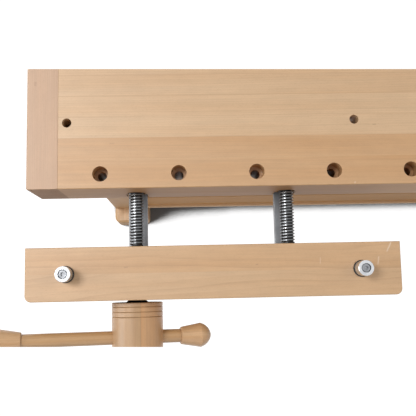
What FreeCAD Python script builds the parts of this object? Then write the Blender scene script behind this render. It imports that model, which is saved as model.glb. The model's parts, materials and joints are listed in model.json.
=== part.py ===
"""Woodworking bench with a twin-screw front vise and a single-screw end vise.

The bench is laid out with x from the left end of its top, y from the front arris towards the
back, and z up from the floor. The finished pieces are then moved so that the origin is on the
floor under the middle of the whole bench. Every size is in millimetres.
"""
import FreeCAD, Part
import math
import os
from dataclasses import dataclass
from FreeCAD import Vector

# ---- the bench top ------------------------------------------------------------------------
BENCH_LENGTH = 2000.0
BENCH_DEPTH = 650.0
BENCH_HEIGHT = 860.0
SLAB_THICKNESS = 40.0
EDGE_HEIGHT = 110.0  # dog strip, end caps and back apron
END_CAP_WIDTH = 50.0
DOG_STRIP_WIDTH = 47.0
APRON_WIDTH = 32.0
EASED_ARRIS = 1.0
CAP_BOLT_INSET = 150.0

# ---- bench dogs and their holes: a wide seat for the head over a narrow hole for the stem -----
DOG_PITCH = 125.0
FIRST_DOG_X = 116.7
DOG_SEAT_DEPTH = 28.0
DOG_SEAT_CLEARANCE = 0.5
DOG_HOLE_RADIUS = 7.5
DOG_HOLE_TO_SHAFT = 6.0  # wood left between a dog hole and a vise screw's hole
BACK_HOLE_Y = 107.0
BACK_HOLE_DEPTH = 70.0
DOG_HEAD_RADIUS = 12.0
DOG_HEAD_LENGTH = 25.5
DOG_RING_OVERHANG = 1.3
DOG_RING_THICKNESS = 2.5
DOG_STEM_LENGTH = 60.0
DOG_SCREW_RADIUS = 4.0
DOG_SCREW_HEAD_RADIUS = 6.5
DOG_SCREW_HEAD_LENGTH = 8.0
DOG_SCREW_HEAD_ROOM = 0.9
DOG_SCREW_SINK = 1.0
DOG_SCREW_BITE = 20.0

# ---- trestles, stretchers and shelf -----------------------------------------------------------
TRESTLE_WIDTH = 93.0
LEFT_TRESTLE_X = 53.0
TRESTLE_BEHIND_BARS = 47.0  # right trestle to the end vise's bars when that vise is shut
FOOT_HEIGHT = 80.0
FOOT_SETBACK = 25.5
FOOT_CORNER_RADIUS = 15.0
FOOT_CHAMFER = 6.0
FOOT_ARCH_HEIGHT = 10.0
FOOT_PAD_LENGTH = 120.0
LEG_SETBACK = 64.5
LEG_DEPTH = 90.0
LEG_CHAMFER = 3.0
HEAD_RAIL_HEIGHT = 80.0
HEAD_RAIL_GAP = 5.0
TENON_THICKNESS = 30.0
TENON_WIDTH = 60.0
TENON_LENGTH = 45.0
TENON_CLEARANCE = 0.1
TOP_BOLT_INSET = 170.0
STRETCHER_RECESS = 5.0
STRETCHER_THICKNESS = 30.0
STRETCHER_HEIGHT = 140.0
STRETCHER_BOTTOM = 110.0
STRETCHER_BOLT_INSET = 35.0
SHELF_THICKNESS = 18.0
SHELF_PROJECTION = 6.0
SHELF_SCREWS = 5
CLEAT_WIDTH = 22.0
CLEAT_HEIGHT = 44.0
CLEAT_RECESS = 14.0
CLEAT_SCREW_RISE = 12.0
CLEAT_SCREWS = 4

# ---- screws and nuts of both vises --------------------------------------------------------------
THREAD_PITCH = 5.0
THREAD_CREST_RADIUS = 12.0
THREAD_DEPTH = 2.75
THREAD_FLANK_ANGLE = 15.0
THREAD_CLEARANCE = 0.15
THREAD_BACKLASH = 0.3
SCREW_PASSAGE = 3.0  # room around a screw where it passes through wood
SHOULDER_LENGTH = 2.2
THREAD_LEAD_IN = 0.3  # from the shoulder to the first root line
THREAD_START_ANGLE = 160.0  # about the axis, so that the ridge begins on the underside
JOURNAL_RADIUS = 10.0
SCREW_CHAMFER = 1.0
OPENING_TRAVEL = 100.0
NUT_RADIUS = 20.0
NUT_LENGTH = 34.0
NUT_HEADROOM = 2.0
NUT_FLANGE_THICKNESS = 8.0
NUT_FLANGE_RIM = 1.0
NUT_FLANGE_OVER_BARS = 7.0
NUT_SCREW_INSET = 7.0
BUSH_RADIUS = 14.0
BUSH_FLANGE_RADIUS = 20.0
BUSH_FLANGE_THICKNESS = 4.0

# ---- guide bars and the rails that they slide in -------------------------------------------------
BAR_WIDTH = 32.0
BAR_THICKNESS = 12.0
BAR_BELOW_SCREW = 36.0
BAR_REACH = 340.0  # behind the bench edge, vise at rest
NOTCH_CLEARANCE = 2.0
NOTCH_BELOW_SCREW = 10.0
RAIL_DISTANCE = 180.0
RAIL_THICKNESS = 45.0
RAIL_BELOW_BARS = 14.0
RAIL_CHEEK = 6.3
RAIL_GAP = 1.0
BAR_BOLT_RADIUS = 4.0
BAR_BOLT_HEAD_RADIUS = 7.5
BAR_BOLT_HEAD_THICKNESS = 6.0
BAR_BOLT_RECESS = 12.0
BAR_BOLT_END_DISTANCE = 12.0

# ---- jaws ------------------------------------------------------------------------------------------
JAW_THICKNESS = 84.0
JAW_HEIGHT = 150.0
JAW_CORNER_RADIUS = 10.0
JAW_JOURNAL_ROOM = 1.0
FRONT_JAW_LENGTH = 591.0
FRONT_JAW_GAP = 92.5
FRONT_DOG_SPACING = 464.0
END_JAW_LENGTH = 420.0
END_JAW_GAP = 60.0
END_BAR_SPREAD = 126.0
END_RAIL_FROM_STRIP = 15.0

# ---- chain drive inside the front jaw --------------------------------------------------------------
CHAIN_PITCH = 9.525
CHAIN_LINK_PAIRS = 35
SPROCKET_TEETH = 17
ROLLER_RADIUS = 3.175
ROLLER_WIDTH = 5.5
LINK_PIN_RADIUS = 1.64
LINK_PLATE_RADIUS = 3.9
LINK_PLATE_THICKNESS = 1.0
LINK_GAP = 0.12
SPROCKET_SIDE_GAP = 0.15
TOOTH_HEIGHT = 2.4
TOOTH_FLANK_ANGLE = 27.0
SPROCKET_HUB_RADIUS = 17.0
CHAIN_ROOM = 4.2
POCKET_DEPTH = 34.0  # from the jaw's outer face to the pocket's floor
POCKET_FLOOR_THICKNESS = 5.0  # wood between the pocket and the guide bars' ends
COVER_THICKNESS = 12.0
COVER_LIP = 10.0
COVER_SCREW_INSET = 6.0

# ---- hubs, handles and knobs ------------------------------------------------------------------------
HUB_RADIUS = 41.7
HUB_LENGTH = 91.0
HUB_ROUNDING_RADIAL = 19.7
HUB_ROUNDING_AXIAL = 16.0
HUB_BORE_DEPTH = 42.0
HUB_EDGE_CHAMFER = 1.0
GROOVE_COUNT = 3
FIRST_GROOVE = 7.0
GROOVE_PITCH = 8.0
GROOVE_WIDTH = 1.8
GROOVE_DEPTH = 1.2
COLLAR_LENGTH = 4.0
COLLAR_JAW_RADIUS = 14.0
COLLAR_HUB_RADIUS = 18.5
HUB_PIN_RADIUS = 3.0
HUB_PIN_LENGTH = 48.0
HUB_PIN_FROM_BACK = 31.0
HANDLE_RADIUS = 11.0
HANDLE_FROM_HUB_BACK = 56.5
HANDLE_FREE_LENGTH = 254.5  # between the knobs' inner faces
HANDLE_CHAMFER = 1.0
KNOB_NECK_RADIUS = 14.3
KNOB_RADIUS = 20.0
KNOB_CONE_LENGTH = 33.5
KNOB_DOME_LENGTH = 17.5
KNOB_TIP_RADIUS = 2.5  # small flat left by the lathe centre
KNOB_SOCKET_DEPTH = 30.0
FRONT_HANDLE_TILT = 10.0  # degrees below level
FRONT_HANDLE_RAISED = 183.6  # hub's axis to the raised knob, vise at rest
END_HANDLE_TILT = 40.0

# ---- fasteners ----------------------------------------------------------------------------------------
FRAME_BOLT_RADIUS = 5.0
FRAME_BOLT_HEAD_RADIUS = 12.0
FRAME_BOLT_HEAD_THICKNESS = 6.0
FRAME_BOLT_RECESS = 10.0
FRAME_BOLT_BITE = 70.0
BARREL_NUT_RADIUS = 8.0
BARREL_NUT_LENGTH = 26.0
BARREL_NUT_FROM_END = 18.0
LAG_RADIUS = 4.0
LAG_HEAD_RADIUS = 8.0
LAG_HEAD_THICKNESS = 6.0
LAG_RECESS = 30.0
LAG_BITE = 26.0
HEX_KEY_LARGE = 8.0  # across flats
HEX_KEY_SMALL = 6.0
HEX_SOCKET_DEPTH = 4.0
WOOD_SCREW_LENGTH = 42.0
WOOD_SCREW_RADIUS = 2.5
WOOD_SCREW_HEAD_RADIUS = 5.0
WOOD_SCREW_HEAD_DEPTH = 3.0
SCREW_SLOT_WIDTH = 1.2
SCREW_SLOT_DEPTH = 1.3
HEAD_CHAMFER = 0.6

# ---- fits -----------------------------------------------------------------------------------------------
RUNNING_FIT = 0.08  # each side, shafts and slides
SEAT_FIT = 0.05  # each side, pieces pressed, glued or screwed into a seat
LOOSE_FIT = 0.3  # fasteners in their holes, and faces that pass each other
OVERCUT = 1.0  # how far a cutting tool runs past the face that it opens

# ---- levels and radii that follow from the sizes above -----------------------------------------------------
TOP = BENCH_HEIGHT
SLAB_BOTTOM = TOP - SLAB_THICKNESS
EDGE_BOTTOM = TOP - EDGE_HEIGHT
JAW_BOTTOM = TOP - JAW_HEIGHT
SCREW_Z = SLAB_BOTTOM - NUT_RADIUS - NUT_HEADROOM
BAR_TOP_Z = SCREW_Z - BAR_BELOW_SCREW
BAR_BOTTOM_Z = BAR_TOP_Z - BAR_THICKNESS
RAIL_BOTTOM = BAR_BOTTOM_Z - RAIL_BELOW_BARS
HEAD_RAIL_BOTTOM = SLAB_BOTTOM - HEAD_RAIL_HEIGHT
SHELF_BOTTOM = STRETCHER_BOTTOM - SHELF_THICKNESS
THREAD_ROOT_RADIUS = THREAD_CREST_RADIUS - THREAD_DEPTH
PASSAGE_RADIUS = THREAD_CREST_RADIUS + SCREW_PASSAGE
DOG_ROW_Y = DOG_STRIP_WIDTH / 2
DOG_SEAT_RADIUS = DOG_HEAD_RADIUS + DOG_SEAT_CLEARANCE
NOTCH_HALF_WIDTH = BAR_WIDTH / 2 + NOTCH_CLEARANCE
NUT_SCREW_X = NOTCH_HALF_WIDTH + NUT_SCREW_INSET
NUT_FLANGE_HALF_WIDTH = NUT_SCREW_X + NUT_SCREW_INSET
NUT_FLANGE_TOP = SCREW_Z + NUT_RADIUS + NUT_FLANGE_RIM
NUT_FLANGE_BOTTOM = BAR_TOP_Z + NUT_FLANGE_OVER_BARS
BAR_MORTISE = JAW_THICKNESS - POCKET_DEPTH - POCKET_FLOOR_THICKNESS
BUSH_LENGTH = BAR_MORTISE - BAR_THICKNESS
HEAD_RAIL_SETBACK = DOG_STRIP_WIDTH + NUT_FLANGE_THICKNESS + HEAD_RAIL_GAP
STRETCHER_SETBACK = LEG_SETBACK + STRETCHER_RECESS
SHELF_SETBACK = STRETCHER_SETBACK - SHELF_PROJECTION
CLEAT_SETBACK = SHELF_SETBACK + CLEAT_RECESS
END_VISE_REACH = BAR_REACH + END_JAW_GAP
RIGHT_TRESTLE_X = BENCH_LENGTH - END_VISE_REACH - TRESTLE_BEHIND_BARS - TRESTLE_WIDTH
TRESTLES = (("left", LEFT_TRESTLE_X), ("right", RIGHT_TRESTLE_X))
LEG_STARTS = (LEG_SETBACK, BENCH_DEPTH - LEG_SETBACK - LEG_DEPTH)
SPROCKET_PITCH_RADIUS = CHAIN_PITCH / 2 / math.sin(math.pi / SPROCKET_TEETH)
CHAIN_LINKS = 2 * CHAIN_LINK_PAIRS
STRAIGHT_LINKS = (CHAIN_LINKS - SPROCKET_TEETH) / 2
SCREW_SPACING = CHAIN_PITCH * STRAIGHT_LINKS
POCKET_HALF_HEIGHT = SPROCKET_PITCH_RADIUS + LINK_PLATE_RADIUS + CHAIN_ROOM

ALONG, BACK, UP = Vector(1, 0, 0), Vector(0, 1, 0), Vector(0, 0, 1)
OUT, DOWN, ORIGIN = Vector(0, -1, 0), Vector(0, 0, -1), Vector(0, 0, 0)


@dataclass
class Vise:
    """One vise, laid out as if on the front edge: its jaw is towards -y and x runs along the edge.

    raised is the distance from the hub's axis to the upper knob, along a handle tilted by tilt.
    """

    name: str
    jaw_left: float
    jaw_length: float
    gap: float
    edge_thickness: float
    screws: dict
    bars: dict
    dogs: list
    tilt: float
    raised: float
    chained: bool

    @property
    def jaw_back(self):
        return -self.gap

    @property
    def jaw_front(self):
        return -self.gap - JAW_THICKNESS

    @property
    def jaw_right(self):
        return self.jaw_left + self.jaw_length

    @property
    def dog_y(self):
        return self.jaw_back - JAW_THICKNESS / 2

    @property
    def driven_x(self):
        return list(self.screws.values())[0]

    @property
    def thread_start(self):
        return self.jaw_back + LOOSE_FIT + SHOULDER_LENGTH + THREAD_LEAD_IN

    @property
    def pocket_floor(self):
        return self.jaw_front + POCKET_DEPTH

    @property
    def cover_back(self):
        return self.jaw_front + COVER_THICKNESS

    @property
    def chain_y(self):
        return (self.pocket_floor + self.cover_back) / 2

    @property
    def hub_back(self):
        return self.jaw_front - LOOSE_FIT - COLLAR_LENGTH

    @property
    def handle_axis(self):
        """Direction of the handle, from its raised end to its low end."""
        tilt = math.radians(self.tilt)
        return Vector(math.cos(tilt), 0, -math.sin(tilt))

    @property
    def handle_centre(self):
        return Vector(self.driven_x, self.hub_back - HANDLE_FROM_HUB_BACK, SCREW_Z)


# ---- shapes used all over ----------------------------------------------------------------------------
def block(x0, x1, y0, y1, z0, z1):
    """Box between two corners."""
    return Part.makeBox(x1 - x0, y1 - y0, z1 - z0, Vector(x0, y0, z0))


def rod(radius, start, direction, length):
    """Plain cylinder."""
    return Part.makeCylinder(radius, length, start, direction)


def aimed(shape, start, direction):
    """Move a shape made along +Z from the origin so that it runs from start along direction."""
    shape.Placement = FreeCAD.Placement(start, FreeCAD.Rotation(UP, direction))
    return shape


def turned(outline, start, direction):
    """Solid of revolution. Each step of the outline is (along, radius) for a straight line to that
    point, or (along, radius, mid_along, mid_radius) for an arc through the middle point."""
    first = here = Vector(outline[0][1], 0, outline[0][0])
    edges = []
    for step in outline[1:]:
        there = Vector(step[1], 0, step[0])
        if len(step) == 4:
            edges.append(Part.Arc(here, Vector(step[3], 0, step[2]), there).toShape())
        else:
            edges.append(Part.makeLine(here, there))
        here = there
    edges.append(Part.makeLine(here, first))
    solid = Part.Face(Part.Wire(edges)).revolve(ORIGIN, UP, 360)
    return aimed(solid, start, direction)


def hex_prism(across_flats, start, direction, length):
    """Hexagonal bar, for the socket of a cap screw."""
    corner = across_flats / math.sqrt(3)
    angles = [math.radians(60 * i) for i in range(7)]
    points = [Vector(corner * math.cos(a), corner * math.sin(a), 0) for a in angles]
    prism = Part.Face(Part.makePolygon(points)).extrude(UP * length)
    return aimed(prism, start, direction)


def chamfered(shape, size, chosen):
    """Chamfer the edges whose middle point passes the test."""
    return shape.makeChamfer(size, [e for e in shape.Edges if chosen(e.CenterOfMass)])


def drilled(shape, tools):
    """Take every tool out of a shape in one step, and unwrap the single solid that is left."""
    if tools:
        shape = shape.cut(Part.makeCompound(tools))
    return shape.Solids[0] if len(shape.Solids) == 1 else shape


def near(a, b):
    """Two coordinates are the same."""
    return abs(a - b) < EASED_ARRIS / 10


# ---- threads -----------------------------------------------------------------------------------------------
def threaded_rod(crest, root, turns, nose, tail, ridge_growth=0.0):
    """Single-start trapezoidal thread along +Z from z = 0, right-handed.

    nose and tail are outlines of (along, radius) from the root surface to the axis, which close the
    two ends. ridge_growth widens the ridge, for a tap that cuts a nut with backlash.
    """
    flank = (crest - root) * math.tan(math.radians(THREAD_FLANK_ANGLE))
    crest_width = THREAD_PITCH / 2 - flank + ridge_growth
    ridge_end = THREAD_PITCH - (THREAD_PITCH / 2 - flank) / 2 + ridge_growth / 2
    rows = [
        (0.0, root),
        (ridge_end - crest_width - 2 * flank, root),
        (ridge_end - crest_width - flank, crest),
        (ridge_end - flank, crest),
        (ridge_end, root),
        (THREAD_PITCH, root),
    ]

    def half_helix(along, radius, half):
        edge = Part.makeHelix(THREAD_PITCH, THREAD_PITCH / 2, radius).Edges[0]
        edge.rotate(ORIGIN, UP, 180 * half)
        edge.translate(UP * (along + half * THREAD_PITCH / 2))
        return edge

    def half_ring(along, half):
        return Part.makeCircle(root, UP * along, UP, 180 * half, 180 * half + 180)

    faces = []
    for half in (0, 1):
        for turn in range(turns):
            lines = [half_helix(a + turn * THREAD_PITCH, r, half) for a, r in rows]
            faces += [Part.makeRuledSurface(p, q) for p, q in zip(lines, lines[1:])]
        start, end = half_helix(0, root, half), half_helix(turns * THREAD_PITCH, root, half)
        faces.append(Part.makeRuledSurface(half_ring(nose[0][0], half), start))
        faces.append(Part.makeRuledSurface(end, half_ring(tail[0][0], half)))
        for outline in (nose, tail):
            line = Part.makePolygon([Vector(r, 0, a) for a, r in outline])
            shell = line.revolve(ORIGIN, UP, 180)
            shell.rotate(ORIGIN, UP, 180 * half)
            faces.append(shell)
    for turn in (0, turns):
        corners = [Vector(r, 0, a + turn * THREAD_PITCH) for a, r in rows[1:5]]
        faces.append(Part.Face(Part.makePolygon(corners + corners[:1])))
    shell = Part.makeShell([face for shape in faces for face in shape.Faces])
    shell.sewShape(0.001)
    solid = Part.makeSolid(shell)
    if solid.Volume < 0:
        solid.reverse()
    solid.rotate(ORIGIN, UP, THREAD_START_ANGLE)
    return solid


def vise_screw(vise, x, front_y):
    """A screw from its threaded tail to the front end of its journal at front_y.

    Its thread is long enough to fill the nut with the vise wide open.
    """
    rear_y = vise.edge_thickness + NUT_LENGTH + OPENING_TRAVEL
    turns = math.ceil((rear_y - vise.thread_start) / THREAD_PITCH) + 1
    nose_at = -THREAD_LEAD_IN
    front = front_y - vise.thread_start
    nose = [
        (nose_at, THREAD_ROOT_RADIUS),
        (nose_at, THREAD_CREST_RADIUS),
        (nose_at - SHOULDER_LENGTH, THREAD_CREST_RADIUS),
        (nose_at - SHOULDER_LENGTH, JOURNAL_RADIUS),
        (front + SCREW_CHAMFER, JOURNAL_RADIUS),
        (front, JOURNAL_RADIUS - SCREW_CHAMFER),
        (front, 0.0),
    ]
    run_out = (turns + 1) * THREAD_PITCH
    end = run_out + THREAD_PITCH
    tail = [
        (run_out, THREAD_ROOT_RADIUS),
        (end, THREAD_ROOT_RADIUS),
        (end + SCREW_CHAMFER, THREAD_ROOT_RADIUS - SCREW_CHAMFER),
        (end + SCREW_CHAMFER, 0.0),
    ]
    screw = threaded_rod(THREAD_CREST_RADIUS, THREAD_ROOT_RADIUS, turns, nose, tail)
    return aimed(screw, Vector(x, vise.thread_start, SCREW_Z), BACK)


def nut_screw_heads(vise, x):
    """Heads of the four wood screws of one nut, on the rear face of its flange."""
    rear = vise.edge_thickness + NUT_FLANGE_THICKNESS
    levels = (NUT_FLANGE_TOP - NUT_SCREW_INSET, NUT_FLANGE_BOTTOM + NUT_SCREW_INSET)
    return [Vector(x + side * NUT_SCREW_X, rear, z) for side in (-1, 1) for z in levels]


def vise_nut(vise, x):
    """Flanged nut screwed to the inner face of the bench edge, tapped in step with its screw."""
    face = vise.edge_thickness
    flange = block(x - NUT_FLANGE_HALF_WIDTH, x + NUT_FLANGE_HALF_WIDTH, face,
                   face + NUT_FLANGE_THICKNESS, NUT_FLANGE_BOTTOM, NUT_FLANGE_TOP)
    body = rod(NUT_RADIUS, Vector(x, face, SCREW_Z), BACK, NUT_LENGTH)
    spare_turns = 3
    turns_before = math.floor((face - vise.thread_start) / THREAD_PITCH) - spare_turns
    turns = math.ceil(NUT_LENGTH / THREAD_PITCH) + 2 * spare_turns
    root = THREAD_ROOT_RADIUS + THREAD_CLEARANCE
    nose = [(-OVERCUT, root), (-OVERCUT, 0.0)]
    tail = [((turns + 1) * THREAD_PITCH, root), ((turns + 1) * THREAD_PITCH, 0.0)]
    tap = threaded_rod(THREAD_CREST_RADIUS + THREAD_CLEARANCE, root, turns, nose, tail,
                       THREAD_BACKLASH)
    start = vise.thread_start + turns_before * THREAD_PITCH
    aimed(tap, Vector(x, start, SCREW_Z), BACK)
    screw_holes = [wood_screw_hole(p, OUT) for p in nut_screw_heads(vise, x)]
    return drilled(flange.fuse(body).cut(tap), screw_holes)


# ---- fasteners ----------------------------------------------------------------------------------------------
def wood_screw_outline(grow):
    """Countersunk wood screw, or its hole when grown."""
    shank = WOOD_SCREW_RADIUS + grow
    point = WOOD_SCREW_LENGTH + 2 * grow
    return [(0.0, 0.0), (0.0, WOOD_SCREW_HEAD_RADIUS + grow), (WOOD_SCREW_HEAD_DEPTH, shank),
            (point - 2 * shank, shank), (point, 0.0)]


def wood_screw(head, direction):
    """Wood screw with its head flush at a point and a slot across it."""
    reach = WOOD_SCREW_HEAD_RADIUS + OVERCUT
    half = SCREW_SLOT_WIDTH / 2
    slot = block(-reach, reach, -half, half, -OVERCUT, SCREW_SLOT_DEPTH)
    screw = drilled(turned(wood_screw_outline(0.0), ORIGIN, UP), [slot])
    return aimed(screw, head, direction)


def wood_screw_hole(head, direction):
    """Room for a wood screw, open above its head."""
    open_head = rod(WOOD_SCREW_HEAD_RADIUS + LOOSE_FIT, head - direction * OVERCUT, direction,
                    OVERCUT)
    return turned(wood_screw_outline(LOOSE_FIT), head, direction).fuse(open_head)


@dataclass(frozen=True)
class CapBolt:
    """Socket head bolt: its head's outer face is at head, sunk in a recess, and its shank runs
    along direction by length from under the head."""

    head: Vector
    direction: Vector
    length: float
    radius: float
    head_radius: float
    head_thickness: float
    recess: float
    key: float

    def solid(self):
        end = self.head_thickness + self.length
        outline = [
            (0.0, 0.0),
            (0.0, self.head_radius - HEAD_CHAMFER),
            (HEAD_CHAMFER, self.head_radius),
            (self.head_thickness, self.head_radius),
            (self.head_thickness, self.radius),
            (end - HEAD_CHAMFER, self.radius),
            (end, self.radius - HEAD_CHAMFER),
            (end, 0.0),
        ]
        socket = hex_prism(self.key, self.head - self.direction * OVERCUT, self.direction,
                           HEX_SOCKET_DEPTH + OVERCUT)
        return drilled(turned(outline, self.head, self.direction), [socket])

    def hole(self):
        """Stepped hole, open above the recess and a little deeper than the shank."""
        above = self.recess + OVERCUT
        seat = rod(self.head_radius + LOOSE_FIT, self.head - self.direction * above,
                   self.direction, above + self.head_thickness)
        shank = rod(self.radius + LOOSE_FIT, self.head, self.direction,
                    self.head_thickness + self.length + OVERCUT)
        return seat.fuse(shank)


def frame_bolt(outer_point, direction, through, nut_axis):
    """Frame bolt through a piece of the given thickness, with the axis of its barrel nut."""
    head = outer_point + direction * FRAME_BOLT_RECESS
    length = through - FRAME_BOLT_RECESS - FRAME_BOLT_HEAD_THICKNESS + FRAME_BOLT_BITE
    bolt = CapBolt(head, direction, length, FRAME_BOLT_RADIUS, FRAME_BOLT_HEAD_RADIUS,
                   FRAME_BOLT_HEAD_THICKNESS, FRAME_BOLT_RECESS, HEX_KEY_LARGE)
    return bolt, nut_axis


def cap_bolts():
    """Bolts through both end caps into barrel nuts that sit in the slab from below."""
    z = TOP - SLAB_THICKNESS / 2
    places = (CAP_BOLT_INSET, BENCH_DEPTH / 2, BENCH_DEPTH - CAP_BOLT_INSET)
    return [frame_bolt(Vector(x, y, z), direction, END_CAP_WIDTH, UP)
            for y in places for x, direction in ((0.0, ALONG), (BENCH_LENGTH, -ALONG))]


def stretcher_bolts():
    """Bolts through the legs into barrel nuts that sit in the stretchers from their inner faces."""
    bolts = []
    top = STRETCHER_BOTTOM + STRETCHER_HEIGHT
    ends = ((LEFT_TRESTLE_X, ALONG), (RIGHT_TRESTLE_X + TRESTLE_WIDTH, -ALONG))
    for y, nut_axis in ((stretcher_middle(False), OUT), (stretcher_middle(True), BACK)):
        for z in (STRETCHER_BOTTOM + STRETCHER_BOLT_INSET, top - STRETCHER_BOLT_INSET):
            bolts += [frame_bolt(Vector(x, y, z), direction, TRESTLE_WIDTH, nut_axis)
                      for x, direction in ends]
    return bolts


def barrel_nut_centre(bolt):
    reach = bolt.head_thickness + bolt.length - BARREL_NUT_FROM_END
    return bolt.head + bolt.direction * reach


def barrel_nut(bolt, axis):
    """Cross dowel nut around the end of a frame bolt."""
    centre = barrel_nut_centre(bolt)
    nut = rod(BARREL_NUT_RADIUS, centre - axis * (BARREL_NUT_LENGTH / 2), axis, BARREL_NUT_LENGTH)
    start = centre - bolt.direction * 2 * BARREL_NUT_RADIUS
    return drilled(nut, [rod(bolt.radius + SEAT_FIT, start, bolt.direction,
                             4 * BARREL_NUT_RADIUS)])


def barrel_nut_hole(bolt, axis, board):
    """Blind hole for a barrel nut from the face of a board of the given thickness."""
    start = barrel_nut_centre(bolt) - axis * (board / 2 + OVERCUT)
    length = board / 2 + BARREL_NUT_LENGTH / 2 + 2 * OVERCUT
    return rod(BARREL_NUT_RADIUS + SEAT_FIT, start, axis, length)


def lag_bolt(x, y, underside):
    """Bolt up through a rail with the given underside and into the slab."""
    head = Vector(x, y, underside + LAG_RECESS)
    length = SLAB_BOTTOM - head.z - LAG_HEAD_THICKNESS + LAG_BITE
    return CapBolt(head, UP, length, LAG_RADIUS, LAG_HEAD_RADIUS, LAG_HEAD_THICKNESS,
                   LAG_RECESS, HEX_KEY_SMALL)


# ---- the bench top -------------------------------------------------------------------------------------------
def dog_row(front):
    """Places of the dog holes along the front strip, left out where a vise screw would meet one."""
    last = BENCH_LENGTH - END_CAP_WIDTH - 2 * DOG_SEAT_RADIUS
    count = int((last - FIRST_DOG_X) // DOG_PITCH) + 1
    places = [FIRST_DOG_X + DOG_PITCH * i for i in range(count)]
    room = PASSAGE_RADIUS + DOG_HOLE_RADIUS + DOG_HOLE_TO_SHAFT
    return [x for x in places if all(abs(x - screw) > room for screw in front.screws.values())]


def dog_hole(x, y, depth):
    """Stepped dog hole: the head's seat above, the stem's hole down to the given depth."""
    seat = rod(DOG_SEAT_RADIUS, Vector(x, y, TOP - DOG_SEAT_DEPTH), UP, DOG_SEAT_DEPTH + OVERCUT)
    return seat.fuse(stem_hole(x, y, depth))


def stem_hole(x, y, depth):
    """Plain dog hole down to the given depth, without a seat for the head."""
    return rod(DOG_HOLE_RADIUS, Vector(x, y, TOP - depth), UP, depth + OVERCUT)


def edge_passages(vise):
    """Clearance holes for the screws and open-bottomed notches for the bars, in a bench edge."""
    past = vise.edge_thickness + OVERCUT
    tools = [rod(PASSAGE_RADIUS, Vector(x, -OVERCUT, SCREW_Z), BACK, past + OVERCUT)
             for x in vise.screws.values()]
    tools += [block(x - NOTCH_HALF_WIDTH, x + NOTCH_HALF_WIDTH, -OVERCUT, past,
                    EDGE_BOTTOM - OVERCUT, SCREW_Z - NOTCH_BELOW_SCREW)
              for x in vise.bars.values()]
    for x in vise.screws.values():
        tools += [wood_screw_hole(p, OUT) for p in nut_screw_heads(vise, x)]
    return tools


def dog_strip(front):
    strip = block(END_CAP_WIDTH, BENCH_LENGTH - END_CAP_WIDTH, 0, DOG_STRIP_WIDTH,
                  EDGE_BOTTOM, TOP)
    strip = chamfered(strip, EASED_ARRIS,
                      lambda p: near(p.y, 0) and near(p.x, BENCH_LENGTH / 2))
    holes = [dog_hole(x, DOG_ROW_Y, EDGE_HEIGHT + OVERCUT) for x in dog_row(front)]
    return drilled(strip, edge_passages(front) + holes)


def top_slab(front, lag_bolts):
    slab = block(END_CAP_WIDTH, BENCH_LENGTH - END_CAP_WIDTH, DOG_STRIP_WIDTH,
                 BENCH_DEPTH - APRON_WIDTH, SLAB_BOTTOM, TOP)
    holes = [stem_hole(x, BACK_HOLE_Y, BACK_HOLE_DEPTH) for x in front.dogs]
    for bolt, nut_axis in cap_bolts():
        holes += [bolt.hole(), barrel_nut_hole(bolt, nut_axis, SLAB_THICKNESS)]
    return drilled(slab, holes + [bolt.hole() for bolt in lag_bolts])


def back_apron():
    apron = block(END_CAP_WIDTH, BENCH_LENGTH - END_CAP_WIDTH, BENCH_DEPTH - APRON_WIDTH,
                  BENCH_DEPTH, EDGE_BOTTOM, TOP)
    return chamfered(apron, EASED_ARRIS,
                     lambda p: near(p.y, BENCH_DEPTH) and near(p.x, BENCH_LENGTH / 2))


def end_cap(outer_x, inner_x, passages):
    """A cap across one end of the top, with its outer arrises eased."""
    cap = block(min(outer_x, inner_x), max(outer_x, inner_x), 0, BENCH_DEPTH, EDGE_BOTTOM, TOP)
    cap = chamfered(cap, EASED_ARRIS, lambda p: near(p.x, outer_x))
    bolts = [bolt.hole() for bolt, _ in cap_bolts()
             if abs(bolt.head.x - outer_x) < END_CAP_WIDTH]
    return drilled(cap, bolts + passages)


# ---- trestles -----------------------------------------------------------------------------------------------
def tenon(x0, leg_y, joint_z, grow):
    """Stub through a joint line, half of it a leg's tenon; its mortise when grown."""
    x, y = x0 + TRESTLE_WIDTH / 2, leg_y + LEG_DEPTH / 2
    half_x, half_y = TENON_THICKNESS / 2 + grow, TENON_WIDTH / 2 + grow
    return block(x - half_x, x + half_x, y - half_y, y + half_y,
                 joint_z - TENON_LENGTH - grow, joint_z + TENON_LENGTH + grow)


def mortises(x0, joint_z):
    return [tenon(x0, y, joint_z, TENON_CLEARANCE) for y in LEG_STARTS]


def foot(x0):
    """Trestle foot with rounded plan corners, chamfered top arrises and an arch between its pads."""
    y0, y1 = FOOT_SETBACK, BENCH_DEPTH - FOOT_SETBACK
    x1 = x0 + TRESTLE_WIDTH
    base = block(x0, x1, y0, y1, 0, FOOT_HEIGHT)
    uprights = [e for e in base.Edges if near(e.CenterOfMass.z, FOOT_HEIGHT / 2)]
    base = base.makeFillet(FOOT_CORNER_RADIUS, uprights)
    base = chamfered(base, FOOT_CHAMFER, lambda p: near(p.z, FOOT_HEIGHT))
    arch = block(x0 - OVERCUT, x1 + OVERCUT, y0 + FOOT_PAD_LENGTH, y1 - FOOT_PAD_LENGTH,
                 -OVERCUT, FOOT_ARCH_HEIGHT)
    screws = [wood_screw_hole(head, direction) for head, direction in cleat_screws()
              if x0 - CLEAT_WIDTH - OVERCUT < head.x < x1 + CLEAT_WIDTH + OVERCUT]
    return drilled(base, [arch] + screws + mortises(x0, FOOT_HEIGHT))


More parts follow.
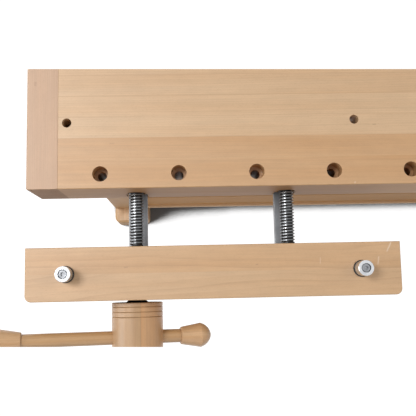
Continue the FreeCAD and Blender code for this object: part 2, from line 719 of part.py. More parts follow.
def leg(x0, leg_y):
    """One leg with a tenon at each end and holes for the stretcher bolts."""
    post = block(x0, x0 + TRESTLE_WIDTH, leg_y, leg_y + LEG_DEPTH, FOOT_HEIGHT, HEAD_RAIL_BOTTOM)
    middle = (FOOT_HEIGHT + HEAD_RAIL_BOTTOM) / 2
    post = chamfered(post, LEG_CHAMFER, lambda p: near(p.z, middle))
    post = post.fuse([tenon(x0, leg_y, z, 0.0) for z in (FOOT_HEIGHT, HEAD_RAIL_BOTTOM)])
    holes = [bolt.hole() for bolt, _ in stretcher_bolts()
             if x0 < bolt.head.x < x0 + TRESTLE_WIDTH and leg_y < bolt.head.y < leg_y + LEG_DEPTH]
    return drilled(post, holes)


def head_rail_lags(x0):
    inset = HEAD_RAIL_SETBACK + TOP_BOLT_INSET
    return [lag_bolt(x0 + TRESTLE_WIDTH / 2, y, HEAD_RAIL_BOTTOM)
            for y in (inset, BENCH_DEPTH - inset)]


def head_rail(x0, front):
    """Top rail of a trestle, chamfered under its ends; a back dog hole may run down into it."""
    y0, y1 = HEAD_RAIL_SETBACK, BENCH_DEPTH - HEAD_RAIL_SETBACK
    rail = block(x0, x0 + TRESTLE_WIDTH, y0, y1, HEAD_RAIL_BOTTOM, SLAB_BOTTOM)
    rail = chamfered(rail, FOOT_CHAMFER,
                     lambda p: near(p.z, HEAD_RAIL_BOTTOM) and not near(p.y, BENCH_DEPTH / 2))
    tools = mortises(x0, HEAD_RAIL_BOTTOM) + [bolt.hole() for bolt in head_rail_lags(x0)]
    tools += [stem_hole(x, BACK_HOLE_Y, BACK_HOLE_DEPTH) for x in front.dogs
              if x0 < x < x0 + TRESTLE_WIDTH]
    return drilled(rail, tools)


def stretcher_middle(back):
    """Middle plane of the front or the back stretcher."""
    front_middle = STRETCHER_SETBACK + STRETCHER_THICKNESS / 2
    return BENCH_DEPTH - front_middle if back else front_middle


def stretcher(back):
    """Long rail between the trestles, with its top arrises eased."""
    middle, half = stretcher_middle(back), STRETCHER_THICKNESS / 2
    top = STRETCHER_BOTTOM + STRETCHER_HEIGHT
    board = block(LEFT_TRESTLE_X + TRESTLE_WIDTH, RIGHT_TRESTLE_X, middle - half, middle + half,
                  STRETCHER_BOTTOM, top)
    board = chamfered(board, EASED_ARRIS, lambda p: near(p.z, top))
    tools = [wood_screw_hole(p, UP) for p in shelf_screws() if near(p.y, middle)]
    for bolt, nut_axis in stretcher_bolts():
        if near(bolt.head.y, middle):
            tools += [bolt.hole(), barrel_nut_hole(bolt, nut_axis, STRETCHER_THICKNESS)]
    return drilled(board, tools)


# ---- shelf ---------------------------------------------------------------------------------------------------
def shelf_ends():
    """The shelf's x limits, just clear of the trestles."""
    return LEFT_TRESTLE_X + TRESTLE_WIDTH + LOOSE_FIT, RIGHT_TRESTLE_X - LOOSE_FIT


def shelf_screws():
    """Heads of the screws up through the shelf into both stretchers, evenly spaced."""
    x0, x1 = shelf_ends()
    step = (x1 - x0) / SHELF_SCREWS
    return [Vector(x0 + step * (i + 0.5), stretcher_middle(back), SHELF_BOTTOM)
            for i in range(SHELF_SCREWS) for back in (False, True)]


def shelf_board():
    x0, x1 = shelf_ends()
    board = block(x0, x1, SHELF_SETBACK, BENCH_DEPTH - SHELF_SETBACK, SHELF_BOTTOM,
                  STRETCHER_BOTTOM)
    board = chamfered(board, EASED_ARRIS, lambda p: near(p.x, (x0 + x1) / 2))
    return drilled(board, [wood_screw_hole(p, UP) for p in shelf_screws()])


def cleat_faces():
    """Trestle face and outward side of each of the two shelf cleats."""
    return (LEFT_TRESTLE_X + TRESTLE_WIDTH, 1), (RIGHT_TRESTLE_X, -1)


def cleat_screws():
    """Heads and directions of the screws through the cleats into the feet."""
    z = SHELF_BOTTOM - CLEAT_HEIGHT + CLEAT_SCREW_RISE
    step = (BENCH_DEPTH - 2 * CLEAT_SETBACK) / CLEAT_SCREWS
    places = [CLEAT_SETBACK + step * (i + 0.5) for i in range(CLEAT_SCREWS)]
    return [(Vector(face + side * CLEAT_WIDTH, y, z), ALONG * -side)
            for face, side in cleat_faces() for y in places]


def shelf_cleat(face, side):
    """Batten on the inner face of a trestle that carries one end of the shelf."""
    x0, x1 = sorted((face, face + side * CLEAT_WIDTH))
    bar = block(x0, x1, CLEAT_SETBACK, BENCH_DEPTH - CLEAT_SETBACK, SHELF_BOTTOM - CLEAT_HEIGHT,
                SHELF_BOTTOM)
    return drilled(bar, [wood_screw_hole(head, direction) for head, direction in cleat_screws()
                         if x0 - OVERCUT < head.x < x1 + OVERCUT])


# ---- guides under the top ---------------------------------------------------------------------------------------
def rail_lags(vise):
    """Bolts that pull a guide rail up to the slab, two in each stretch between its shafts."""
    shafts = sorted(set(vise.screws.values()) | set(vise.bars.values()))
    return [lag_bolt(a + (b - a) * share, RAIL_DISTANCE + RAIL_THICKNESS / 2, RAIL_BOTTOM)
            for a, b in zip(shafts, shafts[1:]) for share in (0.3, 0.7)]


def guide_rail(vise):
    """Cross rail under the slab whose slots guide the bars; the screws pass it with room."""
    overhang = BAR_WIDTH / 2 + RAIL_CHEEK
    y0, y1 = RAIL_DISTANCE, RAIL_DISTANCE + RAIL_THICKNESS
    rail = block(min(vise.bars.values()) - overhang, max(vise.bars.values()) + overhang, y0, y1,
                 RAIL_BOTTOM, SLAB_BOTTOM)
    tools = [rod(PASSAGE_RADIUS, Vector(x, y0 - OVERCUT, SCREW_Z), BACK,
                 RAIL_THICKNESS + 2 * OVERCUT) for x in vise.screws.values()]
    half = BAR_WIDTH / 2 + RUNNING_FIT
    tools += [block(x - half, x + half, y0 - OVERCUT, y1 + OVERCUT, BAR_BOTTOM_Z - RUNNING_FIT,
                    BAR_TOP_Z + RUNNING_FIT) for x in vise.bars.values()]
    return drilled(rail, tools + [bolt.hole() for bolt in rail_lags(vise)])


# ---- jaw ------------------------------------------------------------------------------------------------------
def pocket_ends(vise):
    """The chain pocket's limits along the jaw."""
    places = vise.screws.values()
    return min(places) - POCKET_HALF_HEIGHT, max(places) + POCKET_HALF_HEIGHT


def cover_block(vise, grow):
    """The chain cover, or its rebate when grown."""
    x0, x1 = pocket_ends(vise)
    lip = COVER_LIP + grow
    half = POCKET_HALF_HEIGHT + lip
    return block(x0 - lip, x1 + lip, vise.jaw_front - grow, vise.cover_back,
                 SCREW_Z - half, SCREW_Z + half)


def cover_screws(vise):
    """Heads of the screws through the cover's lip, above and below the chain pocket."""
    x0, x1 = pocket_ends(vise)
    half = POCKET_HALF_HEIGHT + COVER_LIP / 2
    places = (x0 + COVER_SCREW_INSET, (x0 + x1) / 2, x1 - COVER_SCREW_INSET)
    return [Vector(x, vise.jaw_front, SCREW_Z + side * half) for x in places for side in (-1, 1)]


def bar_bolts(vise):
    """Bolts up through the jaw into the guide bars, two to a bar."""
    z = JAW_BOTTOM + BAR_BOLT_RECESS
    length = BAR_TOP_Z - SCREW_CHAMFER - z - BAR_BOLT_HEAD_THICKNESS
    insets = (BAR_BOLT_END_DISTANCE, BAR_MORTISE - BAR_BOLT_END_DISTANCE)
    return [CapBolt(Vector(x, vise.jaw_back - inset, z), UP, length, BAR_BOLT_RADIUS,
                    BAR_BOLT_HEAD_RADIUS, BAR_BOLT_HEAD_THICKNESS, BAR_BOLT_RECESS,
                    HEX_KEY_SMALL)
            for x in vise.bars.values() for inset in insets]


def jaw_board(vise):
    """Wooden jaw with its two outer upright corners rounded and its other edges eased."""
    board = block(vise.jaw_left, vise.jaw_right, vise.jaw_front, vise.jaw_back, JAW_BOTTOM, TOP)
    middle = (JAW_BOTTOM + TOP) / 2
    corners = [e for e in board.Edges
               if near(e.CenterOfMass.z, middle) and near(e.CenterOfMass.y, vise.jaw_front)]
    board = board.makeFillet(JAW_CORNER_RADIUS, corners)
    return chamfered(board, EASED_ARRIS, lambda p: near(p.z, TOP) or near(p.z, JAW_BOTTOM))


def jaw(vise):
    """The jaw with seats for its bushes, bars and dogs and, in the front vise, the chain drive."""
    back = vise.jaw_back + OVERCUT
    tools = []
    for x in vise.screws.values():
        start = Vector(x, back, SCREW_Z)
        tools.append(rod(BUSH_RADIUS + SEAT_FIT, start, OUT, BUSH_LENGTH + OVERCUT))
        tools.append(rod(BUSH_FLANGE_RADIUS + SEAT_FIT, start, OUT,
                         BUSH_FLANGE_THICKNESS + OVERCUT))
        tools.append(rod(JOURNAL_RADIUS + JAW_JOURNAL_ROOM, start, OUT,
                         JAW_THICKNESS + 2 * OVERCUT))
    half = BAR_WIDTH / 2 + SEAT_FIT
    tools += [block(x - half, x + half, vise.jaw_back - BAR_MORTISE, back,
                    BAR_BOTTOM_Z - SEAT_FIT, BAR_TOP_Z + SEAT_FIT) for x in vise.bars.values()]
    tools += [bolt.hole() for bolt in bar_bolts(vise)]
    if vise.chained:
        x0, x1 = pocket_ends(vise)
        tools += [stem_hole(x, vise.dog_y, JAW_HEIGHT + OVERCUT) for x in vise.dogs]
        tools += [block(x0, x1, vise.jaw_front - OVERCUT, vise.pocket_floor,
                        SCREW_Z - POCKET_HALF_HEIGHT, SCREW_Z + POCKET_HALF_HEIGHT)]
        tools += [cover_block(vise, SEAT_FIT)]
        tools += [wood_screw_hole(p, BACK) for p in cover_screws(vise)]
    else:
        tools += [dog_hole(x, vise.dog_y, JAW_HEIGHT + OVERCUT) for x in vise.dogs]
    return drilled(jaw_board(vise), tools)


def jaw_cover(vise):
    """Board that closes the chain pocket, with a hole for the driven screw."""
    start = Vector(vise.driven_x, vise.cover_back + OVERCUT, SCREW_Z)
    tools = [rod(JOURNAL_RADIUS + JAW_JOURNAL_ROOM, start, OUT, COVER_THICKNESS + 2 * OVERCUT)]
    tools += [wood_screw_hole(p, BACK) for p in cover_screws(vise)]
    return drilled(cover_block(vise, 0.0), tools)


def jaw_bush(vise, x):
    """Flanged bush that carries a screw's journal at the back of the jaw."""
    bore = JOURNAL_RADIUS + RUNNING_FIT
    outline = [
        (0.0, bore),
        (0.0, BUSH_FLANGE_RADIUS),
        (BUSH_FLANGE_THICKNESS, BUSH_FLANGE_RADIUS),
        (BUSH_FLANGE_THICKNESS, BUSH_RADIUS),
        (BUSH_LENGTH, BUSH_RADIUS),
        (BUSH_LENGTH, bore),
    ]
    return turned(outline, Vector(x, vise.jaw_back, SCREW_Z), OUT)


def guide_bar(vise, x):
    """Flat steel bar held in the jaw's mortise by two bolts, with a rounded rear end."""
    bar = block(x - BAR_WIDTH / 2, x + BAR_WIDTH / 2, vise.jaw_back - BAR_MORTISE + SEAT_FIT,
                BAR_REACH, BAR_BOTTOM_Z, BAR_TOP_Z)
    middle = (BAR_BOTTOM_Z + BAR_TOP_Z) / 2
    corners = [e for e in bar.Edges
               if near(e.CenterOfMass.y, BAR_REACH) and near(e.CenterOfMass.z, middle)]
    bar = bar.makeFillet(BAR_THICKNESS / 2, corners)
    return drilled(bar, [rod(BAR_BOLT_RADIUS + SEAT_FIT, bolt.head, UP, JAW_HEIGHT)
                         for bolt in bar_bolts(vise) if near(bolt.head.x, x)])


# ---- chain drive ------------------------------------------------------------------------------------------------
def roller_place(vise, i):
    """Centre of roller i, counted clockwise from the top of the left sprocket."""
    radius, run, wrap = SPROCKET_PITCH_RADIUS, STRAIGHT_LINKS, SPROCKET_TEETH / 2
    left, right = vise.screws.values()
    i = i % CHAIN_LINKS
    if i <= run:
        x, z = left + i * CHAIN_PITCH, radius
    elif i <= run + wrap:
        angle = (i - run) * 2 * math.pi / SPROCKET_TEETH
        x, z = right + radius * math.sin(angle), radius * math.cos(angle)
    elif i <= 2 * run + wrap:
        x, z = right - (i - run - wrap) * CHAIN_PITCH, -radius
    else:
        angle = (i - 2 * run - wrap) * 2 * math.pi / SPROCKET_TEETH
        x, z = left - radius * math.sin(angle), -radius * math.cos(angle)
    return Vector(x, vise.chain_y, SCREW_Z + z)


def link_plate(a, b, offset):
    """Side plate of a link between two rollers, its inner face offset from the chain's plane."""
    along = (b - a).normalize()
    across = Vector(-along.z, 0, along.x) * LINK_PLATE_RADIUS
    tip_a, tip_b = a - along * LINK_PLATE_RADIUS, b + along * LINK_PLATE_RADIUS
    outline = Part.Wire([
        Part.makeLine(a + across, b + across),
        Part.Arc(b + across, tip_b, b - across).toShape(),
        Part.makeLine(b - across, a - across),
        Part.Arc(a - across, tip_a, a + across).toShape(),
    ])
    side = BACK if offset > 0 else OUT
    plate = Part.Face(outline).extrude(side * LINK_PLATE_THICKNESS)
    plate = drilled(plate, [rod(LINK_PIN_RADIUS + SEAT_FIT, p - side * OVERCUT, side,
                                LINK_PLATE_THICKNESS + 2 * OVERCUT) for p in (a, b)])
    plate.translate(BACK * offset)
    return plate


def drive_chain(vise):
    """Roller chain round both sprockets: a pin and roller at each joint, plates between them."""
    inner = ROLLER_WIDTH / 2 + LINK_GAP
    outer = inner + LINK_PLATE_THICKNESS + LINK_GAP
    reach = outer + LINK_PLATE_THICKNESS + LINK_GAP
    half = ROLLER_WIDTH / 2
    pin = [
        (-reach, 0.0),
        (-reach, LINK_PIN_RADIUS),
        (-half, LINK_PIN_RADIUS),
        (-half, ROLLER_RADIUS),
        (half, ROLLER_RADIUS),
        (half, LINK_PIN_RADIUS),
        (reach, LINK_PIN_RADIUS),
        (reach, 0.0),
    ]
    pieces = []
    for i in range(CHAIN_LINKS):
        here, there = roller_place(vise, i), roller_place(vise, i + 1)
        offset = inner if i % 2 else outer
        pieces += [link_plate(here, there, offset), link_plate(here, there, -offset)]
        pieces.append(turned(pin, here, BACK))
    return Part.makeCompound(pieces)


def sprocket(vise, x, first_gap):
    """Sprocket on a screw's journal; first_gap is the angle of one tooth gap from the top."""
    centre = Vector(x, vise.chain_y, SCREW_Z)
    width = ROLLER_WIDTH - 2 * SPROCKET_SIDE_GAP
    rim = rod(SPROCKET_PITCH_RADIUS + TOOTH_HEIGHT, centre - BACK * (width / 2), BACK, width)
    seat = ROLLER_RADIUS + SPROCKET_SIDE_GAP
    flare = 2 * TOOTH_HEIGHT * math.tan(math.radians(TOOTH_FLANK_ANGLE))
    gaps = []
    for i in range(SPROCKET_TEETH):
        angle = math.radians(first_gap + 360 * i / SPROCKET_TEETH)
        radial = Vector(math.sin(angle), 0, math.cos(angle))
        across = Vector(radial.z, 0, -radial.x)
        root = centre + radial * SPROCKET_PITCH_RADIUS - BACK * width
        tip = root + radial * 2 * TOOTH_HEIGHT
        corners = [root - across * seat, tip - across * (seat + flare),
                   tip + across * (seat + flare), root + across * seat]
        wedge = Part.Face(Part.makePolygon(corners + corners[:1]))
        gaps += [wedge.extrude(BACK * 2 * width), rod(seat, root, BACK, 2 * width)]
    hub_length = vise.pocket_floor - vise.cover_back - 2 * LOOSE_FIT
    hub = rod(SPROCKET_HUB_RADIUS, Vector(x, vise.pocket_floor - LOOSE_FIT, SCREW_Z), OUT,
              hub_length)
    bore = rod(JOURNAL_RADIUS + SEAT_FIT, Vector(x, vise.pocket_floor, SCREW_Z), OUT, POCKET_DEPTH)
    return drilled(drilled(rim, gaps).fuse(hub), [bore])


# ---- hub, handle and knobs -----------------------------------------------------------------------------------
def hub_pin_line(vise):
    """Lower end and direction of the pin through hub and screw, at right angles to the handle."""
    axis = vise.handle_axis
    up = Vector(-axis.z, 0, axis.x)
    middle = Vector(vise.driven_x, vise.hub_back - HUB_PIN_FROM_BACK, SCREW_Z)
    return middle - up * (HUB_PIN_LENGTH / 2), up


def hub(vise):
    """Turned wooden hub with grooves, a bore for the screw and a hole for the handle."""
    outline = [(0.0, 0.0), (0.0, HUB_RADIUS - HUB_EDGE_CHAMFER), (HUB_EDGE_CHAMFER, HUB_RADIUS)]
    for i in range(GROOVE_COUNT):
        place = FIRST_GROOVE + GROOVE_PITCH * i
        outline += [(place - GROOVE_WIDTH / 2, HUB_RADIUS), (place, HUB_RADIUS - GROOVE_DEPTH),
                    (place + GROOVE_WIDTH / 2, HUB_RADIUS)]
    shoulder = HUB_LENGTH - HUB_ROUNDING_AXIAL
    face_radius = HUB_RADIUS - HUB_ROUNDING_RADIAL
    halfway = math.sqrt(0.5)
    outline += [(shoulder, HUB_RADIUS),
                (HUB_LENGTH, face_radius, shoulder + HUB_ROUNDING_AXIAL * halfway,
                 face_radius + HUB_ROUNDING_RADIAL * halfway),
                (HUB_LENGTH, 0.0)]
    start = Vector(vise.driven_x, vise.hub_back, SCREW_Z)
    axis = vise.handle_axis
    pin_start, up = hub_pin_line(vise)
    tools = [
        rod(JOURNAL_RADIUS + SEAT_FIT, start + BACK * OVERCUT, OUT, HUB_BORE_DEPTH + OVERCUT),
        rod(HANDLE_RADIUS + RUNNING_FIT, vise.handle_centre - axis * 2 * HUB_RADIUS, axis,
            4 * HUB_RADIUS),
        rod(HUB_PIN_RADIUS + SEAT_FIT, pin_start - up * HUB_RADIUS, up,
            HUB_RADIUS + HUB_PIN_LENGTH + OVERCUT),
    ]
    return drilled(turned(outline, start, OUT), tools)


def hub_collar(vise):
    """Black thrust collar between the jaw and the hub."""
    bore = JOURNAL_RADIUS + SEAT_FIT
    outline = [(0.0, bore), (0.0, COLLAR_HUB_RADIUS), (COLLAR_LENGTH, COLLAR_JAW_RADIUS),
               (COLLAR_LENGTH, bore)]
    return turned(outline, Vector(vise.driven_x, vise.hub_back, SCREW_Z), BACK)


def driven_screw(vise):
    """The screw that carries the hub, cross-drilled for the hub's pin."""
    front_y = vise.hub_back - HUB_BORE_DEPTH + OVERCUT
    pin_start, up = hub_pin_line(vise)
    hole = rod(HUB_PIN_RADIUS + SEAT_FIT, pin_start, up, HUB_PIN_LENGTH)
    return drilled(vise_screw(vise, vise.driven_x, front_y), [hole])


def handle_bar(vise):
    length = HANDLE_FREE_LENGTH + 2 * KNOB_SOCKET_DEPTH
    start = vise.handle_centre - vise.handle_axis * (vise.raised + KNOB_SOCKET_DEPTH)
    outline = [
        (0.0, 0.0),
        (0.0, HANDLE_RADIUS - HANDLE_CHAMFER),
        (HANDLE_CHAMFER, HANDLE_RADIUS),
        (length - HANDLE_CHAMFER, HANDLE_RADIUS),
        (length, HANDLE_RADIUS - HANDLE_CHAMFER),
        (length, 0.0),
    ]
    return turned(outline, start, vise.handle_axis)


def knob(start, direction):
    """Pear-shaped knob; start is the middle of its inner face."""
    dome_share = 2 / 3
    tip = KNOB_CONE_LENGTH + KNOB_DOME_LENGTH
    outline = [
        (0.0, 0.0),
        (0.0, KNOB_NECK_RADIUS - HANDLE_CHAMFER),
        (HANDLE_CHAMFER, KNOB_NECK_RADIUS),
        (KNOB_CONE_LENGTH, KNOB_RADIUS),
        (tip, KNOB_TIP_RADIUS,
         KNOB_CONE_LENGTH + KNOB_DOME_LENGTH * dome_share, KNOB_RADIUS * dome_share),
        (tip, 0.0),
    ]
    socket = rod(HANDLE_RADIUS + SEAT_FIT, start - direction * OVERCUT, direction,
                 KNOB_SOCKET_DEPTH + OVERCUT)
    return drilled(turned(outline, start, direction), [socket])


def knobs(vise):
    """Both knobs, with their inner faces at the ends of the handle's free length."""
    axis, centre = vise.handle_axis, vise.handle_centre
    low_side = HANDLE_FREE_LENGTH - vise.raised
    return Part.makeCompound([knob(centre - axis * vise.raised, axis * -1),
                              knob(centre + axis * low_side, axis)])


# ---- bench dogs ------------------------------------------------------------------------------------------------
def dog_screw(top):
    """Socket head screw down through a dog's head into its stem; top is its head's outer face."""
    length = DOG_HEAD_LENGTH - DOG_SCREW_SINK - DOG_SCREW_HEAD_LENGTH + DOG_SCREW_BITE
    return CapBolt(top, DOWN, length, DOG_SCREW_RADIUS, DOG_SCREW_HEAD_RADIUS,
                   DOG_SCREW_HEAD_LENGTH, DOG_SCREW_SINK, HEX_KEY_SMALL)


def bench_dog(name, x, y):
    """A dog standing in a jaw hole: head, rubber ring, stem and the screw that joins them."""
    seat = Vector(x, y, TOP)
    head_bottom = seat + UP * DOG_RING_THICKNESS
    screw = dog_screw(head_bottom + UP * (DOG_HEAD_LENGTH - DOG_SCREW_SINK))
    rim = HEAD_CHAMFER
    head = turned([(0.0, 0.0), (0.0, DOG_HEAD_RADIUS - rim), (rim, DOG_HEAD_RADIUS),
                   (DOG_HEAD_LENGTH - rim, DOG_HEAD_RADIUS),
                   (DOG_HEAD_LENGTH, DOG_HEAD_RADIUS - rim), (DOG_HEAD_LENGTH, 0.0)],
                  head_bottom, UP)
    counterbore = rod(DOG_SCREW_HEAD_RADIUS + DOG_SCREW_HEAD_ROOM,
                      screw.head - UP * DOG_SCREW_HEAD_LENGTH, UP, DOG_HEAD_LENGTH)
    shank_hole = rod(DOG_SCREW_RADIUS + LOOSE_FIT, seat, UP, DOG_HEAD_LENGTH)
    stem_radius = DOG_HOLE_RADIUS - RUNNING_FIT
    bore = stem_radius + SEAT_FIT
    belly = DOG_HEAD_RADIUS + DOG_RING_OVERHANG
    ring = turned([(0.0, bore), (0.0, DOG_HEAD_RADIUS),
                   (DOG_RING_THICKNESS, DOG_HEAD_RADIUS, DOG_RING_THICKNESS / 2, belly),
                   (DOG_RING_THICKNESS, bore)], seat, UP)
    length = DOG_STEM_LENGTH + DOG_RING_THICKNESS
    stem = turned([(0.0, 0.0), (0.0, stem_radius - HANDLE_CHAMFER), (HANDLE_CHAMFER, stem_radius),
                   (length, stem_radius), (length, 0.0)], seat - UP * DOG_STEM_LENGTH, UP)
    bite = rod(DOG_SCREW_RADIUS + SEAT_FIT, head_bottom + UP * OVERCUT, DOWN,
               DOG_SCREW_BITE + 2 * OVERCUT)
    return {f"{name}_head": drilled(head, [counterbore, shank_hole]), f"{name}_ring": ring,
            f"{name}_stem": drilled(stem, [bite]), f"{name}_screw": screw.solid()}


# ---- assemblies -------------------------------------------------------------------------------------------------
def front_vise():
    """Twin-screw vise whose left bar runs just beside the left trestle."""
    beside_trestle = LEFT_TRESTLE_X + TRESTLE_WIDTH + RAIL_GAP
    left = beside_trestle + RAIL_CHEEK + BAR_WIDTH / 2
    middle = left + SCREW_SPACING / 2
    places = {"left": left, "right": left + SCREW_SPACING}
    dogs = [middle - FRONT_DOG_SPACING / 2, middle + FRONT_DOG_SPACING / 2]
    return Vise("front", middle - FRONT_JAW_LENGTH / 2, FRONT_JAW_LENGTH, FRONT_JAW_GAP,
                DOG_STRIP_WIDTH, places, dict(places), dogs, FRONT_HANDLE_TILT,
                FRONT_HANDLE_RAISED, True)


def end_vise():
    """Single-screw vise flush with the front arris; its dog hole lines up with the dog row.

    Its handle has slid down until the upper knob rests on the hub.
    """
    first_bar = DOG_STRIP_WIDTH + END_RAIL_FROM_STRIP + RAIL_CHEEK + BAR_WIDTH / 2
    screw = first_bar + END_BAR_SPREAD
    bars = {"front": first_bar, "back": screw + END_BAR_SPREAD}
    return Vise("end", 0.0, END_JAW_LENGTH, END_JAW_GAP, END_CAP_WIDTH, {"middle": screw}, bars,
                [DOG_ROW_Y], END_HANDLE_TILT, HUB_RADIUS + LOOSE_FIT, False)


def jaw_pieces(vise):
    """Everything that slides with a vise's jaw."""
    pieces = {
        f"{vise.name}_jaw": jaw(vise),
        f"{vise.name}_jaw_bushes": Part.makeCompound(
            [jaw_bush(vise, x) for x in vise.screws.values()]),
        f"{vise.name}_bar_bolts": Part.makeCompound([bolt.solid() for bolt in bar_bolts(vise)]),
    }
    for side, x in vise.bars.items():
        pieces[f"{vise.name}_guide_bar_{side}"] = guide_bar(vise, x)
    if vise.chained:
        pieces["front_jaw_cover"] = jaw_cover(vise)
        pieces["front_cover_screws"] = Part.makeCompound(
            [wood_screw(p, BACK) for p in cover_screws(vise)])
        pieces["drive_chain"] = drive_chain(vise)
    return pieces


def drive_pieces(vise):
    """The driven screw with its hub, collar and pin, and the handle with its knobs."""
    pin_start, up = hub_pin_line(vise)
    return {
        f"{vise.name}_drive_screw": driven_screw(vise),
        f"{vise.name}_hub": hub(vise),
        f"{vise.name}_hub_collar": hub_collar(vise),
        f"{vise.name}_hub_pin": rod(HUB_PIN_RADIUS, pin_start, up, HUB_PIN_LENGTH),
        f"{vise.name}_handle_bar": handle_bar(vise),
        f"{vise.name}_handle_knobs": knobs(vise),
    }


def chain_pieces(vise):
    """Both sprockets, in mesh with the chain, and the right screw that the chain turns."""
    left, right = vise.screws.values()
    right_gap = (math.ceil(STRAIGHT_LINKS) - STRAIGHT_LINKS) * 360 / SPROCKET_TEETH
    return {
        "front_follower_screw": vise_screw(vise, right, vise.cover_back + LOOSE_FIT),
        "drive_sprocket": sprocket(vise, left, 0.0),
        "follower_sprocket": sprocket(vise, right, right_gap),
    }


def fixed_vise_pieces(vise):
    """The nuts and the guide rail, which stay with the bench."""
    pieces = {f"{vise.name}_guide_rail": guide_rail(vise)}
    for side, x in vise.screws.items():
        pieces[f"{vise.name}_nut_{side}"] = vise_nut(vise, x)
    return pieces


def to_bench_end(shape):
    """Turn a shape laid out on the front edge so that its vise is on the right end of the bench."""
    shape = shape.copy()
    shape.rotate(ORIGIN, UP, 90)
    shape.translate(ALONG * BENCH_LENGTH)
    return shape


def bench_fasteners(front, end):
    """Bolts, barrel nuts and wood screws that stay with the bench."""
    frame_bolts = cap_bolts() + stretcher_bolts()
    lags = [bolt.solid() for _, x0 in TRESTLES for bolt in head_rail_lags(x0)]
    lags += [bolt.solid() for bolt in rail_lags(front)]
    lags += [to_bench_end(bolt.solid()) for bolt in rail_lags(end)]
    wood_screws = [wood_screw(p, UP) for p in shelf_screws()]
    wood_screws += [wood_screw(head, direction) for head, direction in cleat_screws()]
    for x in front.screws.values():
        wood_screws += [wood_screw(p, OUT) for p in nut_screw_heads(front, x)]
    for x in end.screws.values():
        wood_screws += [to_bench_end(wood_screw(p, OUT)) for p in nut_screw_heads(end, x)]
    return {
        "frame_bolts": Part.makeCompound([bolt.solid() for bolt, _ in frame_bolts]),
        "barrel_nuts": Part.makeCompound([barrel_nut(*pair) for pair in frame_bolts]),
        "lag_bolts": Part.makeCompound(lags),
        "bench_wood_screws": Part.makeCompound(wood_screws),
    }


def slab_with_holes(front, end):
    """The slab, drilled for every bolt that holds a rail to it."""
    lags = [bolt for _, x0 in TRESTLES for bolt in head_rail_lags(x0)] + rail_lags(front)
    slab = top_slab(front, lags)
    return drilled(slab, [to_bench_end(bolt.hole()) for bolt in rail_lags(end)])


def bench_pieces(front, end):
    """The bench without its vises' hardware."""
    end_passages = [to_bench_end(tool) for tool in edge_passages(end)]
    pieces = {
        "top_slab": slab_with_holes(front, end),
        "dog_strip": dog_strip(front),
        "back_apron": back_apron(),
        "left_end_cap": end_cap(0.0, END_CAP_WIDTH, []),
        "right_end_cap": end_cap(BENCH_LENGTH, BENCH_LENGTH - END_CAP_WIDTH, end_passages),
        "front_stretcher": stretcher(False),
        "back_stretcher": stretcher(True),
        "shelf_board": shelf_board(),
        "shelf_cleats": Part.makeCompound([shelf_cleat(*face) for face in cleat_faces()]),
    }
    for name, x0 in TRESTLES:
        pieces[f"{name}_foot"] = foot(x0)
        pieces[f"{name}_head_rail"] = head_rail(x0, front)
        pieces[f"{name}_legs"] = Part.makeCompound([leg(x0, y) for y in LEG_STARTS])
    return pieces


def bench_middle(front, end):
    """The point on the floor under the middle of the whole bench, hubs and handles included."""
    to_tip = KNOB_CONE_LENGTH + KNOB_DOME_LENGTH
    left = front.driven_x - (front.raised + to_tip) * front.handle_axis.x
    right = BENCH_LENGTH - end.hub_back + HUB_LENGTH
    nearest = front.hub_back - HUB_LENGTH
    return Vector((left + right) / 2, (nearest + BENCH_DEPTH) / 2, 0)


def main():
    front, end = front_vise(), end_vise()
    pieces = {**bench_pieces(front, end), **bench_fasteners(front, end)}
    pieces.update({**fixed_vise_pieces(front), **jaw_pieces(front), **drive_pieces(front)})
    pieces.update(chain_pieces(front))
    for side, x in zip(("left", "right"), front.dogs):
        pieces.update(bench_dog(f"{side}_dog", x, front.dog_y))
    on_end = {**fixed_vise_pieces(end), **jaw_pieces(end), **drive_pieces(end)}
    pieces.update({name: to_bench_end(shape) for name, shape in on_end.items()})
    middle = bench_middle(front, end)
    os.makedirs("parts", exist_ok=True)
    for name, shape in pieces.items():
        shape = shape.copy()
        shape.translate(middle * -1)
        shape.exportStep(f"parts/{name}.step")
        print(f"{name}: {len(shape.Solids)} solid(s), valid {shape.isValid()}")
    print(f"{len(pieces)} nodes, origin at {middle}")


main()
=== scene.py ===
"""Dresses the woodworking bench with vises: eased timber, steel, rubber, light and camera."""
import json
import logging
import math
from collections.abc import Callable
from dataclasses import KW_ONLY, dataclass
from enum import Enum

import bmesh
import bpy
from mathutils import Matrix, Vector

